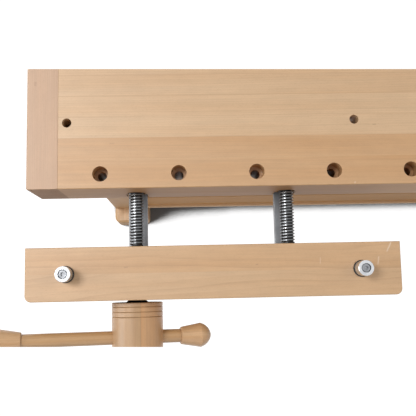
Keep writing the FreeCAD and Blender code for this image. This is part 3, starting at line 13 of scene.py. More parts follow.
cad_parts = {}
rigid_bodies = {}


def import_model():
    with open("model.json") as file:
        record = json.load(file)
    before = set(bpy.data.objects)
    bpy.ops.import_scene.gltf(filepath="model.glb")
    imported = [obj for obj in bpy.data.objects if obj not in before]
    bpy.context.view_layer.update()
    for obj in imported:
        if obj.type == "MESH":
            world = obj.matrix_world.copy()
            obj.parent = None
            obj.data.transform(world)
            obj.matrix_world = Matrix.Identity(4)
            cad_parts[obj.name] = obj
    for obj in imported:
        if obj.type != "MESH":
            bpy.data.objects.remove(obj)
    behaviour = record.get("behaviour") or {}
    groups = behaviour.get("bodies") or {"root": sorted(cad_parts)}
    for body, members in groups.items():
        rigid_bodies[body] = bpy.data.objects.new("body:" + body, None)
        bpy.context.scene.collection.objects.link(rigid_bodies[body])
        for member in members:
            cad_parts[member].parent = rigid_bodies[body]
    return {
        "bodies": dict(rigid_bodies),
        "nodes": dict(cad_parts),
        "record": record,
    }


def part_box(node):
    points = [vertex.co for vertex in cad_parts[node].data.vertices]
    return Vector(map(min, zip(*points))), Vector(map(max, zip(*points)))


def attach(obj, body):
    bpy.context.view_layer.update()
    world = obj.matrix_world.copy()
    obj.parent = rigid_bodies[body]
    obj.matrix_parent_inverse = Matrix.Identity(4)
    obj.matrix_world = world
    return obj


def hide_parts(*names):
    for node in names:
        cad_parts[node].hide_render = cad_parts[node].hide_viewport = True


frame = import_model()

LOG = logging.getLogger("bench")
MM = 0.001
Colour = tuple[float, float, float, float]
Triple = tuple[float, float, float]
Material = bpy.types.Material
Node = bpy.types.Node
Socket = bpy.types.NodeSocket
Ports = dict[str, Socket]
Look = tuple[Socket, Socket, Socket]


def shade(red: int, green: int, blue: int) -> Colour:
    """Turns a colour written as on a paint card into the renderer's linear values.

    Args:
        red: Red from 0 to 255.
        green: Green from 0 to 255.
        blue: Blue from 0 to 255.

    Returns:
        The linear colour with full opacity.
    """
    def linear(value: int) -> float:
        """Returns one channel without its display curve."""
        share = value / 255
        return share / 12.92 if share <= 0.04045 else ((share + 0.055) / 1.055) ** 2.4

    return linear(red), linear(green), linear(blue), 1.0


PALE_BEECH = shade(206, 172, 134)
WARM_BEECH = shade(190, 143, 94)
RING_BEECH = shade(150, 104, 62)
# Lighter beech on the arrises: handling wear, and partly a painted highlight.
WORN_AND_HIGHLIT_BEECH = shade(224, 190, 146)
RUBBED = shade(238, 220, 198)
KNOT = shade(138, 98, 68)
BENCH_TOP = 0.86


class Grain(Enum):
    """Which way the fibres of a board run, as the turn that takes X to that way."""

    LENGTHWISE = (0.0, 0.0, 0.0)
    CROSSWISE = (0.0, 0.0, math.pi / 2)
    UPRIGHT = (0.0, -math.pi / 2, 0.0)


class Measure(Enum):
    """What a pattern is laid out by."""

    PLACE = "Object"
    FACING = "Normal"


class NodeSketch:
    """Places nodes in one node tree and joins them."""

    def __init__(self, tree: bpy.types.NodeTree) -> None:
        """Starts with the tree that the nodes go into."""
        self.tree = tree

    def add(self, kind: str, **settings: object) -> Node:
        """Adds one shader node.

        Args:
            kind: The node's type name without ShaderNode.
            **settings: Values for the node's own options.

        Returns:
            The new node.
        """
        node = self.tree.nodes.new(f"ShaderNode{kind}")
        for name, value in settings.items():
            setattr(node, name, value)
        return node

    def feed(self, socket: Socket, value: object) -> None:
        """Joins a socket to another one, or sets its value.

        Args:
            socket: The input.
            value: What goes into it, a socket or a plain value.
        """
        if isinstance(value, Socket):
            self.tree.links.new(value, socket)
        else:
            socket.default_value = value

    def fill(self, node: Node, **values: object) -> Node:
        """Feeds several inputs of a node.

        Args:
            node: The node.
            **values: Inputs by name, with underscores for spaces.

        Returns:
            The node.
        """
        for name, value in values.items():
            self.feed(node.inputs[name.replace("_", " ")], value)
        return node

    def math(self, operation: str, a: object, b: object = 0.0, c: object = 0.0) -> Socket:
        """Works out one number from up to three.

        Args:
            operation: The sum to do.
            a: First number or socket.
            b: Second number or socket.
            c: Third number or socket.

        Returns:
            The result's socket.
        """
        node = self.add("Math", operation=operation)
        for socket, value in zip(node.inputs, (a, b, c)):
            self.feed(socket, value)
        return node.outputs[0]

    def more(self, a: object, b: object) -> Socket:
        """Returns a + b."""
        return self.math("ADD", a, b)

    def less(self, a: object, b: object) -> Socket:
        """Returns a - b."""
        return self.math("SUBTRACT", a, b)

    def times(self, a: object, b: object) -> Socket:
        """Returns a * b."""
        return self.math("MULTIPLY", a, b)

    def times_plus(self, a: object, b: object, c: object) -> Socket:
        """Returns a * b + c."""
        return self.math("MULTIPLY_ADD", a, b, c)

    def reach(self, a: object, b: object) -> Socket:
        """Returns how far the point (a, b) is from the origin."""
        return self.math("SQRT", self.more(self.times(a, a), self.times(b, b)))

    def pair(self, operation: str, a: object, b: object) -> Node:
        """Works on two vectors.

        Args:
            operation: The sum to do.
            a: First vector.
            b: Second vector.

        Returns:
            The node.
        """
        node = self.add("VectorMath", operation=operation)
        self.feed(node.inputs[0], a)
        self.feed(node.inputs[1], b)
        return node

    def along(self, vector: object, stretch: Triple) -> Socket:
        """Multiplies a vector, so that a pattern is drawn out along its small numbers."""
        return self.pair("MULTIPLY", vector, stretch).outputs[0]

    def cloud(self, vector: object, scale: float = 1.0, detail: float = 2.0,
              rough: float = 0.5) -> Socket:
        """Draws soft noise.

        Args:
            vector: The coordinates.
            scale: Lumps to a metre.
            detail: How many finer layers it has.
            rough: How strong they are.

        Returns:
            The noise from 0 to 1.
        """
        return self.fill(self.add("TexNoise"), Vector=vector, Scale=scale,
                         Detail=detail, Roughness=rough).outputs[0]

    def step(self, value: object, low: float, high: float, to_low: float = 0.0,
             to_high: float = 1.0) -> Socket:
        """Moves a number smoothly from one pair of limits to another.

        Args:
            value: The number to move.
            low: Where the change starts.
            high: Where the change ends.
            to_low: The result at the start.
            to_high: The result at the end.

        Returns:
            The result's socket.
        """
        node = self.add("MapRange", interpolation_type="SMOOTHSTEP")
        return self.fill(node, Value=value, From_Min=low, From_Max=high, To_Min=to_low,
                         To_Max=to_high).outputs[0]

    def blend(self, share: object, a: object, b: object, how: str = "MIX") -> Socket:
        """Mixes two colours.

        Args:
            share: How much of the second colour shows.
            a: First colour.
            b: Second colour.
            how: The way of mixing.

        Returns:
            The mixed colour's socket.
        """
        colour_a, colour_b, mixed = 6, 7, 2
        node = self.add("Mix", data_type="RGBA", blend_type=how)
        self.feed(node.inputs[0], share)
        self.feed(node.inputs[colour_a], a)
        self.feed(node.inputs[colour_b], b)
        return node.outputs[mixed]

    def parts(self, vector: object) -> tuple[Socket, Socket, Socket]:
        """Splits a vector into its three numbers."""
        return tuple(self.fill(self.add("SeparateXYZ"), Vector=vector).outputs)

    def whole(self, x: object, y: object, z: object) -> Socket:
        """Makes a vector from three numbers."""
        return self.fill(self.add("CombineXYZ"), X=x, Y=y, Z=z).outputs[0]

    def throw(self, number: object) -> Node:
        """Returns the node of a fixed chance value and colour for each number."""
        return self.fill(self.add("TexWhiteNoise", noise_dimensions="1D"), W=number)


def sockets(kind: str, *names: str) -> dict[str, str]:
    """Lists a group's sockets of one kind."""
    return dict.fromkeys(names, f"NodeSocket{kind}")


class Effects:
    """The shader groups that several finishes share, each built once."""

    def __init__(self) -> None:
        """Builds every group."""
        vector, mask = sockets("Vector", "Vector"), sockets("Float", "Mask")
        self.beech = self._group(
            "beech figure", self._draw_beech,
            vector | sockets("Vector", "Facing") | sockets("Color", "Pale", "Warm", "Ring")
            | sockets("Float", "Stave Width", "Ring Spacing", "Ring Strength", "Fleck Strength",
                      "Seam Strength", "Heart Depth", "Heart Side", "Bow", "Warmth", "Variety",
                      "Seed"),
            sockets("Color", "Color") | sockets("Float", "Height", "Sheen Loss"))
        self.wear = self._group("edge wear", self._draw_arrises, sockets("Float", "Reach") | vector,
                                mask)
        self.ground = self._group(
            "grinding marks", self._draw_ground,
            vector | sockets("Color", "Light", "Dark") | sockets("Float", "Roughness"),
            sockets("Color", "Color") | sockets("Float", "Roughness", "Height"))
        self.turning = self._group("turning marks", self._draw_turning,
                                   vector | sockets("Float", "Spacing"), mask)
        self.scuff = self._group("scuff", self._draw_scuff,
                                 vector | sockets("Float", "Length", "Width"), mask)

    @staticmethod
    def _group(name: str, draw: Callable[[NodeSketch, Ports], Ports], takes: dict[str, str],
               gives: dict[str, str]) -> bpy.types.NodeTree:
        """Makes one group.

        Args:
            name: The group's name.
            draw: What places the nodes, from the inputs to the outputs by name.
            takes: Types of the inputs by name.
            gives: Types of the outputs by name.

        Returns:
            The group's node tree.
        """
        tree = bpy.data.node_groups.new(name, "ShaderNodeTree")
        for way, listed in (("INPUT", takes), ("OUTPUT", gives)):
            for label, kind in listed.items():
                tree.interface.new_socket(label, in_out=way, socket_type=kind)
        sketch = NodeSketch(tree)
        start, end = (tree.nodes.new(f"NodeGroup{way}") for way in ("Input", "Output"))
        made = draw(sketch, {label: start.outputs[label] for label in takes})
        for label in gives:
            sketch.feed(end.inputs[label], made[label])
        return tree

    @staticmethod
    def _draw_beech(s: NodeSketch, take: Ports) -> Ports:
        """Draws growth rings, fibres, flecks, staves and end grain of beech.

        Args:
            s: Where the nodes go.
            take: The group's inputs; X of the vector runs along the fibres.

        Returns:
            The outputs by name.
        """
        # Each stave has its own three chances, and they move its noise.
        x, y, z = s.parts(take["Vector"])
        place = s.math("DIVIDE", y, take["Stave Width"])
        number = s.math("FLOOR", place)
        local = s.less(place, number)
        chance = s.throw(s.more(number, take["Seed"])).outputs["Color"]
        red, green, blue = s.parts(chance)
        own = s.along(chance, (9.0, 7.0, 5.0))

        def figure(stretch: Triple, detail: float = 3.0, rough: float = 0.5) -> Socket:
            """Draws the stave's own noise, drawn out along its small numbers."""
            shifted = s.pair("ADD", s.along(take["Vector"], stretch), own).outputs[0]
            return s.cloud(shifted, detail=detail, rough=rough)

        # Growth rings lie round a heart that leans away from the board.
        bow = figure((1.6, 9.0, 9.0), detail=2.0)
        sway = figure((5.0, 30.0, 30.0))
        half = s.times(s.less(local, 0.5), take["Stave Width"])
        side = s.more(half, s.times(s.less(red, 0.5), 0.07))
        side = s.more(side, take["Heart Side"])
        lean = s.times(s.less(blue, 0.5), s.times(take["Bow"], 0.05))
        side = s.times_plus(x, lean, side)
        rise = s.times(s.less(green, 0.5), s.times(take["Bow"], 0.09))
        deep = s.more(z, s.times_plus(green, 0.05, take["Heart Depth"]))
        deep = s.times_plus(x, rise, deep)
        radius = s.reach(side, deep)
        radius = s.times_plus(bow, s.times(take["Bow"], 0.030), radius)
        radius = s.times_plus(sway, s.times(take["Bow"], 0.004), radius)
        ring = s.math("DIVIDE", radius, take["Ring Spacing"])
        year = s.math("FLOOR", ring)
        late = s.math("POWER", s.less(ring, year), 2.6)
        late = s.times(late, s.step(s.throw(year).outputs["Value"], 0.0, 1.0, 0.25, 1.0))

        # Fibres, streaks, ray flecks and end grain.
        drift = figure((2.2, 38.0, 38.0))
        fibre = figure((16.0, 620.0, 620.0), rough=0.6)
        streak = figure((5.0, 190.0, 190.0), rough=0.6)
        mottle = figure((30.0, 55.0, 55.0), detail=2.0)
        cells = s.fill(s.add("TexVoronoi", feature="F1"), Scale=1.0,
                       Vector=s.along(take["Vector"], (160.0, 1150.0, 1150.0)))
        fleck = s.step(cells.outputs["Distance"], 0.34, 0.12)
        ends = s.step(s.math("ABSOLUTE", s.parts(take["Facing"])[0]), 0.55, 0.9)

        # Colour.
        warm = s.times_plus(s.less(blue, 0.5), take["Variety"], take["Warmth"])
        warm = s.times_plus(s.less(drift, 0.5), 0.9, warm)
        colour = s.blend(s.math("MINIMUM", s.math("MAXIMUM", warm, 0.0), 1.0),
                         take["Pale"], take["Warm"])
        tint = s.step(red, 0.0, 1.0, 0.965, 1.03)
        for noise, low, high, dark, light in ((fibre, 0.25, 0.75, 0.965, 1.03),
                                              (streak, 0.25, 0.75, 0.955, 1.035),
                                              (mottle, 0.3, 0.7, 0.975, 1.02)):
            tint = s.times(tint, s.step(noise, low, high, dark, light))
        tint = s.times(tint, s.times_plus(ends, -0.20, 1.0))
        edge = s.times(s.math("MINIMUM", local, s.less(1.0, local)), take["Stave Width"])
        seam = s.times(s.step(edge, 0.6 * MM, 0.1 * MM), take["Seam Strength"])
        for share in (s.times(late, take["Ring Strength"]), s.times(fleck, take["Fleck Strength"]),
                      seam):
            colour = s.blend(share, colour, take["Ring"])
        colour = s.blend(1.0, colour, s.whole(tint, tint, tint), how="MULTIPLY")

        # Relief and sheen.
        height = s.times_plus(fibre, 0.5, s.times(late, -0.35))
        height = s.times_plus(fleck, -0.25, height)
        height = s.times_plus(seam, -0.6, height)
        loss = s.times_plus(ends, 0.14, s.times(streak, 0.10))
        return {"Color": colour, "Height": height, "Sheen Loss": loss}

    @staticmethod
    def _draw_arrises(s: NodeSketch, take: Ports) -> Ports:
        """Finds the arrises, broken up as handling wears them; on timber they take wear and a
        painted highlight.

        Args:
            s: Where the nodes go.
            take: The group's inputs.

        Returns:
            The outputs by name.
        """
        soft = s.fill(s.add("Bevel", samples=4), Radius=take["Reach"])
        sharp = s.add("NewGeometry").outputs["Normal"]
        same = s.pair("DOT_PRODUCT", soft.outputs[0], sharp).outputs["Value"]
        turned = s.step(s.less(1.0, same), 0.01, 0.16)
        patch = s.step(s.cloud(take["Vector"], scale=55.0, detail=3.0), 0.32, 0.62, 0.45, 1.0)
        return {"Mask": s.times(turned, patch)}

    @staticmethod
    def _draw_ground(s: NodeSketch, take: Ports) -> Ports:
        """Draws the fine lines and cloudy tone of ground steel.

        Args:
            s: Where the nodes go.
            take: The group's inputs; X of the vector runs along the lines.

        Returns:
            The outputs by name.
        """
        lines = s.cloud(s.along(take["Vector"], (9.0, 900.0, 900.0)), detail=3.0, rough=0.6)
        tone = s.cloud(take["Vector"], scale=38.0, detail=4.0)
        share = s.times_plus(lines, 0.45, s.step(tone, 0.3, 0.72, 0.0, 0.6))
        rough = s.times_plus(s.less(tone, 0.5), 0.22, take["Roughness"])
        rough = s.times_plus(s.less(lines, 0.5), 0.12, rough)
        return {"Color": s.blend(share, take["Light"], take["Dark"]), "Roughness": rough,
                "Height": lines}

    @staticmethod
    def _draw_turning(s: NodeSketch, take: Ports) -> Ports:
        """Draws the rings that a lathe tool leaves round the X axis.

        Args:
            s: Where the nodes go.
            take: The group's inputs.

        Returns:
            The outputs by name.
        """
        x, y, z = s.parts(take["Vector"])
        turn = s.math("DIVIDE", s.more(s.reach(y, z), x), take["Spacing"])
        wave = s.times_plus(s.math("SINE", s.times(turn, math.tau)), 0.5, 0.5)
        depth = s.cloud(s.whole(s.times(turn, 0.7), 0.0, 0.0), detail=1.0)
        return {"Mask": s.times(wave, depth)}

    @staticmethod
    def _draw_scuff(s: NodeSketch, take: Ports) -> Ports:
        """Draws one straight rubbed mark along X at the vector's origin.

        Args:
            s: Where the nodes go.
            take: The group's inputs.

        Returns:
            The outputs by name.
        """
        x, y, z = s.parts(take["Vector"])
        run = s.math("DIVIDE", s.math("ABSOLUTE", x), take["Length"])
        off = s.math("DIVIDE", s.math("ABSOLUTE", y), take["Width"])
        near = s.times(s.step(run, 0.5, 0.3), s.step(off, 0.5, 0.15))
        flat = s.step(s.math("ABSOLUTE", z), 4 * MM, 2 * MM)
        broken = s.step(s.cloud(s.along(take["Vector"], (260.0, 900.0, 1.0))), 0.3, 0.6, 0.35, 1.0)
        return {"Mask": s.times(s.times(near, flat), broken)}


def coordinates(s: NodeSketch, measure: Measure, turn: Triple,
                centre: Vector | Triple = (0.0, 0.0, 0.0)) -> Socket:
    """Gives a pattern its coordinates, with X along a piece's working direction.

    Args:
        s: Where the nodes go.
        measure: What the pattern is laid out by.
        turn: Euler angles that take X to the working direction.
        centre: Point that becomes the origin.

    Returns:
        The turned coordinates.
    """
    source = s.add("TexCoord")
    mapping = s.add("Mapping", vector_type="TEXTURE")
    return s.fill(mapping, Vector=source.outputs[measure.value], Location=centre,
                  Rotation=turn).outputs[0]


def new_material(name: str) -> tuple[Material, NodeSketch, Node]:
    """Makes an empty material.

    Args:
        name: The material's name.

    Returns:
        The material, its sketch and its surface shader.
    """
    material = bpy.data.materials.new(name)
    material.use_nodes = True
    material.node_tree.nodes.clear()
    sketch = NodeSketch(material.node_tree)
    shader = sketch.add("BsdfPrincipled")
    sketch.fill(sketch.add("OutputMaterial"), Surface=shader.outputs[0])
    return material, sketch, shader


@dataclass(frozen=True)
class Mark:
    """A rub or a pin knot on a board's top: where it is, which way it runs and its size."""

    x: float
    y: float
    angle: float
    length: float
    width: float
    strength: float
    colour: Colour = RUBBED


@dataclass(frozen=True)
class Canvas:
    """Where a finish draws one material."""

    s: NodeSketch
    shader: Node
    effects: Effects
    place: Socket

    def group(self, name: str, **values: object) -> Ports:
        """Puts a shared group into the material.

        Args:
            name: The group's name among the effects.
            **values: Inputs by name, with underscores for spaces.

        Returns:
            The outputs by name.
        """
        node = self.s.add("Group", node_tree=getattr(self.effects, name))
        self.s.fill(node, **({"Vector": self.place} | values))
        return {socket.name: socket for socket in node.outputs}


@dataclass(frozen=True)
class Finish:
    """What a surface looks like, with its grain, lines or axis along the turned X."""

    name: str
    _: KW_ONLY
    turn: Triple = Grain.LENGTHWISE.value
    metallic: float = 0.0
    relief: float = 0.04 * MM
    relief_strength: float = 1.0

    def material(self, effects: Effects, centre: Vector) -> Material:
        """Makes the material for one piece.

        Args:
            effects: The shared groups.
            centre: The pattern's origin, a point of the piece.

        Returns:
            The finished material.
        """
        material, s, shader = new_material(self.name)
        place = coordinates(s, Measure.PLACE, self.turn, centre)
        colour, rough, height = self.draw(Canvas(s, shader, effects, place))
        bump = s.fill(s.add("Bump"), Height=height, Distance=self.relief,
                      Strength=self.relief_strength)
        s.fill(shader, Base_Color=colour, Roughness=rough, Metallic=self.metallic,
               Normal=bump.outputs[0])
        return material

    def draw(self, on: Canvas) -> Look:
        """Draws the finish's own pattern.

        Args:
            on: Where to draw.

        Returns:
            The colour, roughness and height.
        """
        raise NotImplementedError


@dataclass(frozen=True)
class Timber(Finish):
    """Oiled beech, cut from its own log."""

    _: KW_ONLY
    pale: Colour = PALE_BEECH
    warm: Colour = WARM_BEECH
    ring: Colour = RING_BEECH
    stave: float = 1.0
    ring_spacing: float = 4.2 * MM
    ring_strength: float = 0.42
    fleck_strength: float = 0.22
    seam_strength: float = 0.0
    heart_depth: float = 0.05
    heart_side: float = 0.0
    bow: float = 1.0
    warmth: float = 0.45
    variety: float = 0.3
    seed: float = 1.0
    roughness: float = 0.5
    gloss: float = 0.35
    lacquer: float = 0.05
    wax: float = 1.0
    coat_index: float = 1.7
    coat_roughness: float = 0.5
    arris_reach: float = 1.6 * MM
    wear_and_highlight_strength: float = 0.45
    relief: float = 0.12 * MM
    relief_strength: float = 0.8
    marks: tuple[Mark, ...] = ()

    def draw(self, on: Canvas) -> Look:
        """Draws the grain, the arrises lightened by wear and a painted highlight, and the marks,
        and sets the coat.

        Args:
            on: Where to draw.

        Returns:
            The colour, roughness and height.
        """
        s = on.s
        figure = on.group(
            "beech", Facing=coordinates(s, Measure.FACING, self.turn), Pale=self.pale,
            Warm=self.warm, Ring=self.ring, Stave_Width=self.stave,
            Ring_Spacing=self.ring_spacing, Ring_Strength=self.ring_strength,
            Fleck_Strength=self.fleck_strength, Seam_Strength=self.seam_strength,
            Heart_Depth=self.heart_depth, Heart_Side=self.heart_side, Bow=self.bow,
            Warmth=self.warmth, Variety=self.variety, Seed=self.seed)
        wear = on.group("wear", Reach=self.arris_reach)
        # Arrises lightened: handling wear, and partly a painted highlight along the edges.
        colour = s.blend(s.times(wear["Mask"], self.wear_and_highlight_strength), figure["Color"], WORN_AND_HIGHLIT_BEECH)
        for mark in self.marks:
            spot = coordinates(s, Measure.PLACE, (0.0, 0.0, mark.angle),
                               (mark.x, mark.y, BENCH_TOP))
            rub = on.group("scuff", Vector=spot, Length=mark.length, Width=mark.width)
            colour = s.blend(s.times(rub["Mask"], mark.strength), colour, mark.colour)
        upward = s.parts(coordinates(s, Measure.FACING, Grain.LENGTHWISE.value))[2]
        s.fill(on.shader, Coat_Weight=s.step(upward, 0.75, 0.95, self.lacquer, self.wax),
               Coat_IOR=self.coat_index, Coat_Roughness=self.coat_roughness,
               Specular_IOR_Level=self.gloss)
        return colour, s.more(figure["Sheen Loss"], self.roughness), figure["Height"]


@dataclass(frozen=True)
class GroundSteel(Finish):
    """Bare or plated steel with fine lines along one direction."""

    light: Colour
    dark: Colour
    roughness: float
    _: KW_ONLY
    metallic: float = 1.0
    arris_reach: float = 0.8 * MM
    worn: Colour = shade(225, 225, 225)

    def draw(self, on: Canvas) -> Look:
        """Draws the grinding lines and the bright arrises.

        Args:
            on: Where to draw.

        Returns:
            The colour, roughness and height.
        """
        s = on.s
        marks = on.group("ground", Light=self.light, Dark=self.dark, Roughness=self.roughness)
        wear = on.group("wear", Reach=self.arris_reach)
        colour = s.blend(s.times(wear["Mask"], 0.5), marks["Color"], self.worn)
        return colour, marks["Roughness"], marks["Height"]


@dataclass(frozen=True)
class ThreadSteel(Finish):
    """A screw's steel: bright crests, and grease, dust and painted shade in the grooves."""

    root: float
    crest: float
    light: Colour = shade(146, 148, 150)
    dark: Colour = shade(104, 106, 108)
    # Colour of the grease, dust and painted shade in the grooves.
    dirt_and_shade: Colour = shade(30, 27, 25)
    roughness: float = 0.28
    _: KW_ONLY
    metallic: float = 1.0
    relief: float = 0.03 * MM

    def draw(self, on: Canvas) -> Look:
        """Draws steel that darkens from the crests to the roots.

        Args:
            on: Where to draw.

        Returns:
            The colour, roughness and height.
        """
        s = on.s
        # Darker towards the roots: grease and dust, and painted shade in the thread grooves.
        depth = self.crest - self.root
        grime_and_shade = s.step(s.reach(*s.parts(on.place)[1:]), self.root + depth * 0.75,
                       self.root + depth * 0.1)
        patch = s.step(s.cloud(on.place, scale=90.0, detail=4.0), 0.3, 0.65, 0.65, 1.0)
        grime_and_shade = s.times(grime_and_shade, patch)
        marks = on.group("ground", Light=self.light, Dark=self.dark, Roughness=self.roughness)
        return (s.blend(grime_and_shade, marks["Color"], self.dirt_and_shade),
                s.times_plus(grime_and_shade, 0.25, marks["Roughness"]), marks["Height"])


@dataclass(frozen=True)
class TurnedMetal(Finish):
    """Metal faced on a lathe, with its rings round the piece's own axis."""

    light: Colour
    dark: Colour
    roughness: float
    spacing: float
    _: KW_ONLY
    turn: Triple = Grain.UPRIGHT.value
    metallic: float = 1.0
    relief: float = 0.02 * MM

    def draw(self, on: Canvas) -> Look:
        """Draws the tool's rings under a cloudy tone.

        Args:
            on: Where to draw.

        Returns:
            The colour, roughness and height.
        """
        s = on.s
        rings = on.group("turning", Spacing=self.spacing)["Mask"]
        cloud = s.cloud(on.place, scale=120.0, detail=3.0)
        share = s.times_plus(rings, 0.35, s.step(cloud, 0.35, 0.7, 0.0, 0.35))
        return (s.blend(share, self.light, self.dark), s.times_plus(cloud, 0.12, self.roughness),
                rings)


@dataclass(frozen=True)
class MattBlack(Finish):
    """Black rubber or blackened steel with a dusty bloom."""

    black: Colour
    bloom: Colour
    roughness: float
    _: KW_ONLY
    arris_reach: float = 0.6 * MM
    relief: float = 0.05 * MM

    def draw(self, on: Canvas) -> Look:
        """Draws the bloom and the pores.

        Args:
            on: Where to draw.

        Returns:
            The colour, roughness and height.
        """
        s = on.s
        dust = s.step(s.cloud(on.place, scale=160.0, detail=4.0), 0.45, 0.8, 0.0, 0.55)
        wear = on.group("wear", Reach=self.arris_reach)
        dust = s.math("MAXIMUM", dust, s.times(wear["Mask"], 0.5))
        return (s.blend(dust, self.black, self.bloom), s.times_plus(dust, 0.2, self.roughness),
                s.cloud(on.place, scale=900.0, detail=3.0))


class Builder:
    """Dresses CAD nodes and makes eased copies of them."""

    weld: float = 0.002 * MM
    flat: float = math.radians(0.3)
    corner: float = math.radians(35)
    sharp: float = math.radians(50)
    glue_line: float = 0.4 * MM

    def __init__(self, effects: Effects) -> None:
        """Starts with the shared groups."""
        self.effects = effects
        self.bodies = {name: body for body, names in
                       frame["record"]["behaviour"]["bodies"].items() for name in names}
        self.slots = {name: node.material_slots[0].name.split(".")[0]
                      for name, node in frame["nodes"].items()}
        self.pieces = 0

    @staticmethod
    def middle(node: str) -> Vector:
        """Returns the middle of a node's box."""
        low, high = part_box(node)
        return (low + high) / 2

    def dress(self, finish: Finish, *nodes: str, centre: Vector | None = None) -> None:
        """Gives CAD nodes a finish and leaves their shape.

        Args:
            finish: The finish.
            *nodes: The nodes' names.
            centre: The pattern's origin, or None for each node's own middle.
        """
        for name in nodes:
            material = finish.material(self.effects, centre or self.middle(name))
            for slot in frame["nodes"][name].material_slots:
                slot.material = material
            self.pieces += 1
            LOG.info("dressed %s", name)

    def ease(self, finish: Finish, node: str, radius: float, centre: Vector | None = None,
             glued_to: tuple[str, ...] = ()) -> None:
        """Stands a copy of a node with eased arrises in its place.

        Args:
            finish: The finish.
            node: The node's name.
            radius: How far each arris is rounded.
            centre: The pattern's origin, or None for the node's own middle.
            glued_to: Nodes whose glue lines stay sharp.
        """
        joints = [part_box(name) for name in glued_to]
        mesh = bpy.data.meshes.new(f"{node}_eased")
        bm = bmesh.new()
        bm.from_mesh(frame["nodes"][node].data)
        bmesh.ops.remove_doubles(bm, verts=bm.verts, dist=self.weld)
        bmesh.ops.dissolve_limit(bm, angle_limit=self.flat, verts=bm.verts, edges=bm.edges,
                                 delimit=set())
        arrises = [edge for edge in bm.edges if self._arris(edge, joints)]
        bmesh.ops.bevel(bm, geom=arrises, offset=radius, offset_type="OFFSET", segments=2,
                        profile=0.5, affect="EDGES", clamp_overlap=True, material=-1,
                        loop_slide=True)
        bm.to_mesh(mesh)
        bm.free()
        mesh.shade_smooth()
        mesh.set_sharp_from_angle(angle=self.sharp)
        piece = bpy.data.objects.new(f"{node}_eased", mesh)
        bpy.context.scene.collection.objects.link(piece)
        mesh.materials.append(finish.material(self.effects, centre or self.middle(node)))
        normals = piece.modifiers.new("even normals", "WEIGHTED_NORMAL")
        normals.keep_sharp = True
        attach(piece, self.bodies[node])
        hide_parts(node)
        self.pieces += 1
        LOG.info("eased %s: %d arrises", node, len(arrises))

    def _arris(self, edge: bmesh.types.BMEdge, joints: list[tuple[Vector, Vector]]) -> bool:
        """Tells whether an edge is an outer corner away from every glue line.

        Args:
            edge: The edge.
            joints: Boxes of the nodes that are glued on.

        Returns:
            True for an edge to round.
        """
        if len(edge.link_faces) != 2 or edge.calc_face_angle_signed(0.0) < self.corner:
            return False
        return not any(all(low[i] - self.glue_line <= v.co[i] <= high[i] + self.glue_line
                           for v in edge.verts for i in range(3)) for low, high in joints)


@dataclass
class Assembly:
    """A group of pieces, and what makes and dresses them."""

    builder: Builder


@dataclass
class BenchTop(Assembly):
    """The glued top: staves, dog strip, back apron and end caps."""

    stave: float = 34.6 * MM
    wide_stave: float = 60 * MM
    strip_offset: float = 5 * MM
    arris: float = 1.1 * MM
    slab_marks: tuple[Mark, ...] = (
        Mark(-0.5288, -0.0910, 0.1, 7 * MM, 3 * MM, 0.4, KNOT),
        Mark(-0.9533, -0.1167, 0.05, 10 * MM, 4 * MM, 0.25, KNOT),
    )
    strip_marks: tuple[Mark, ...] = (
        Mark(-0.5649, -0.1858, 1.2, 4 * MM, 2.5 * MM, 0.5),
    )
    cap_marks: tuple[Mark, ...] = (
        Mark(-1.0755, -0.0171, 1.57, 9 * MM, 6 * MM, 0.4, KNOT),
    )

    def build(self) -> None:
        """Makes every piece of the top."""
        joined = ("top_slab", "dog_strip", "back_apron", "left_end_cap", "right_end_cap")
        low = {name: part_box(name)[0] for name in joined}
        top_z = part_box("top_slab")[1].z
        straight = dict(ring_strength=0.2, heart_side=0.15, bow=0.4, ring_spacing=3.4 * MM)
        cap = dict(straight, pale=shade(194, 160, 130), warm=shade(180, 138, 102),
                   turn=Grain.CROSSWISE.value, stave=self.wide_stave, warmth=0.55)
        slab = Timber("slab beech", stave=self.stave, seam_strength=0.25, seed=16144.0,
                      warmth=0.28, variety=0.75, marks=self.slab_marks, **straight)
        strip = Timber("strip beech", stave=self.wide_stave, seed=14.0, warmth=0.68,
                       heart_side=0.05, bow=0.7, ring_strength=0.2, marks=self.strip_marks)
        left_cap = Timber("left_end_cap beech", seed=46.0, marks=self.cap_marks, **cap)
        for name, finish, radius, x, y in (
                ("top_slab", slab, self.arris * 0.6, 0.0, low["top_slab"].y),
                ("dog_strip", strip, self.arris, 0.0, low["dog_strip"].y - self.strip_offset),
                ("back_apron", Timber("apron beech", seed=22.0, **straight), self.arris, 0.0,
                 low["back_apron"].y),
                ("left_end_cap", left_cap, self.arris, *low["left_end_cap"].xy),
                ("right_end_cap", Timber("right_end_cap beech", seed=89.0, **cap), self.arris,
                 *low["right_end_cap"].xy)):
            self.builder.ease(finish, name, radius, Vector((x, y, top_z)),
                              tuple(other for other in joined if other != name))


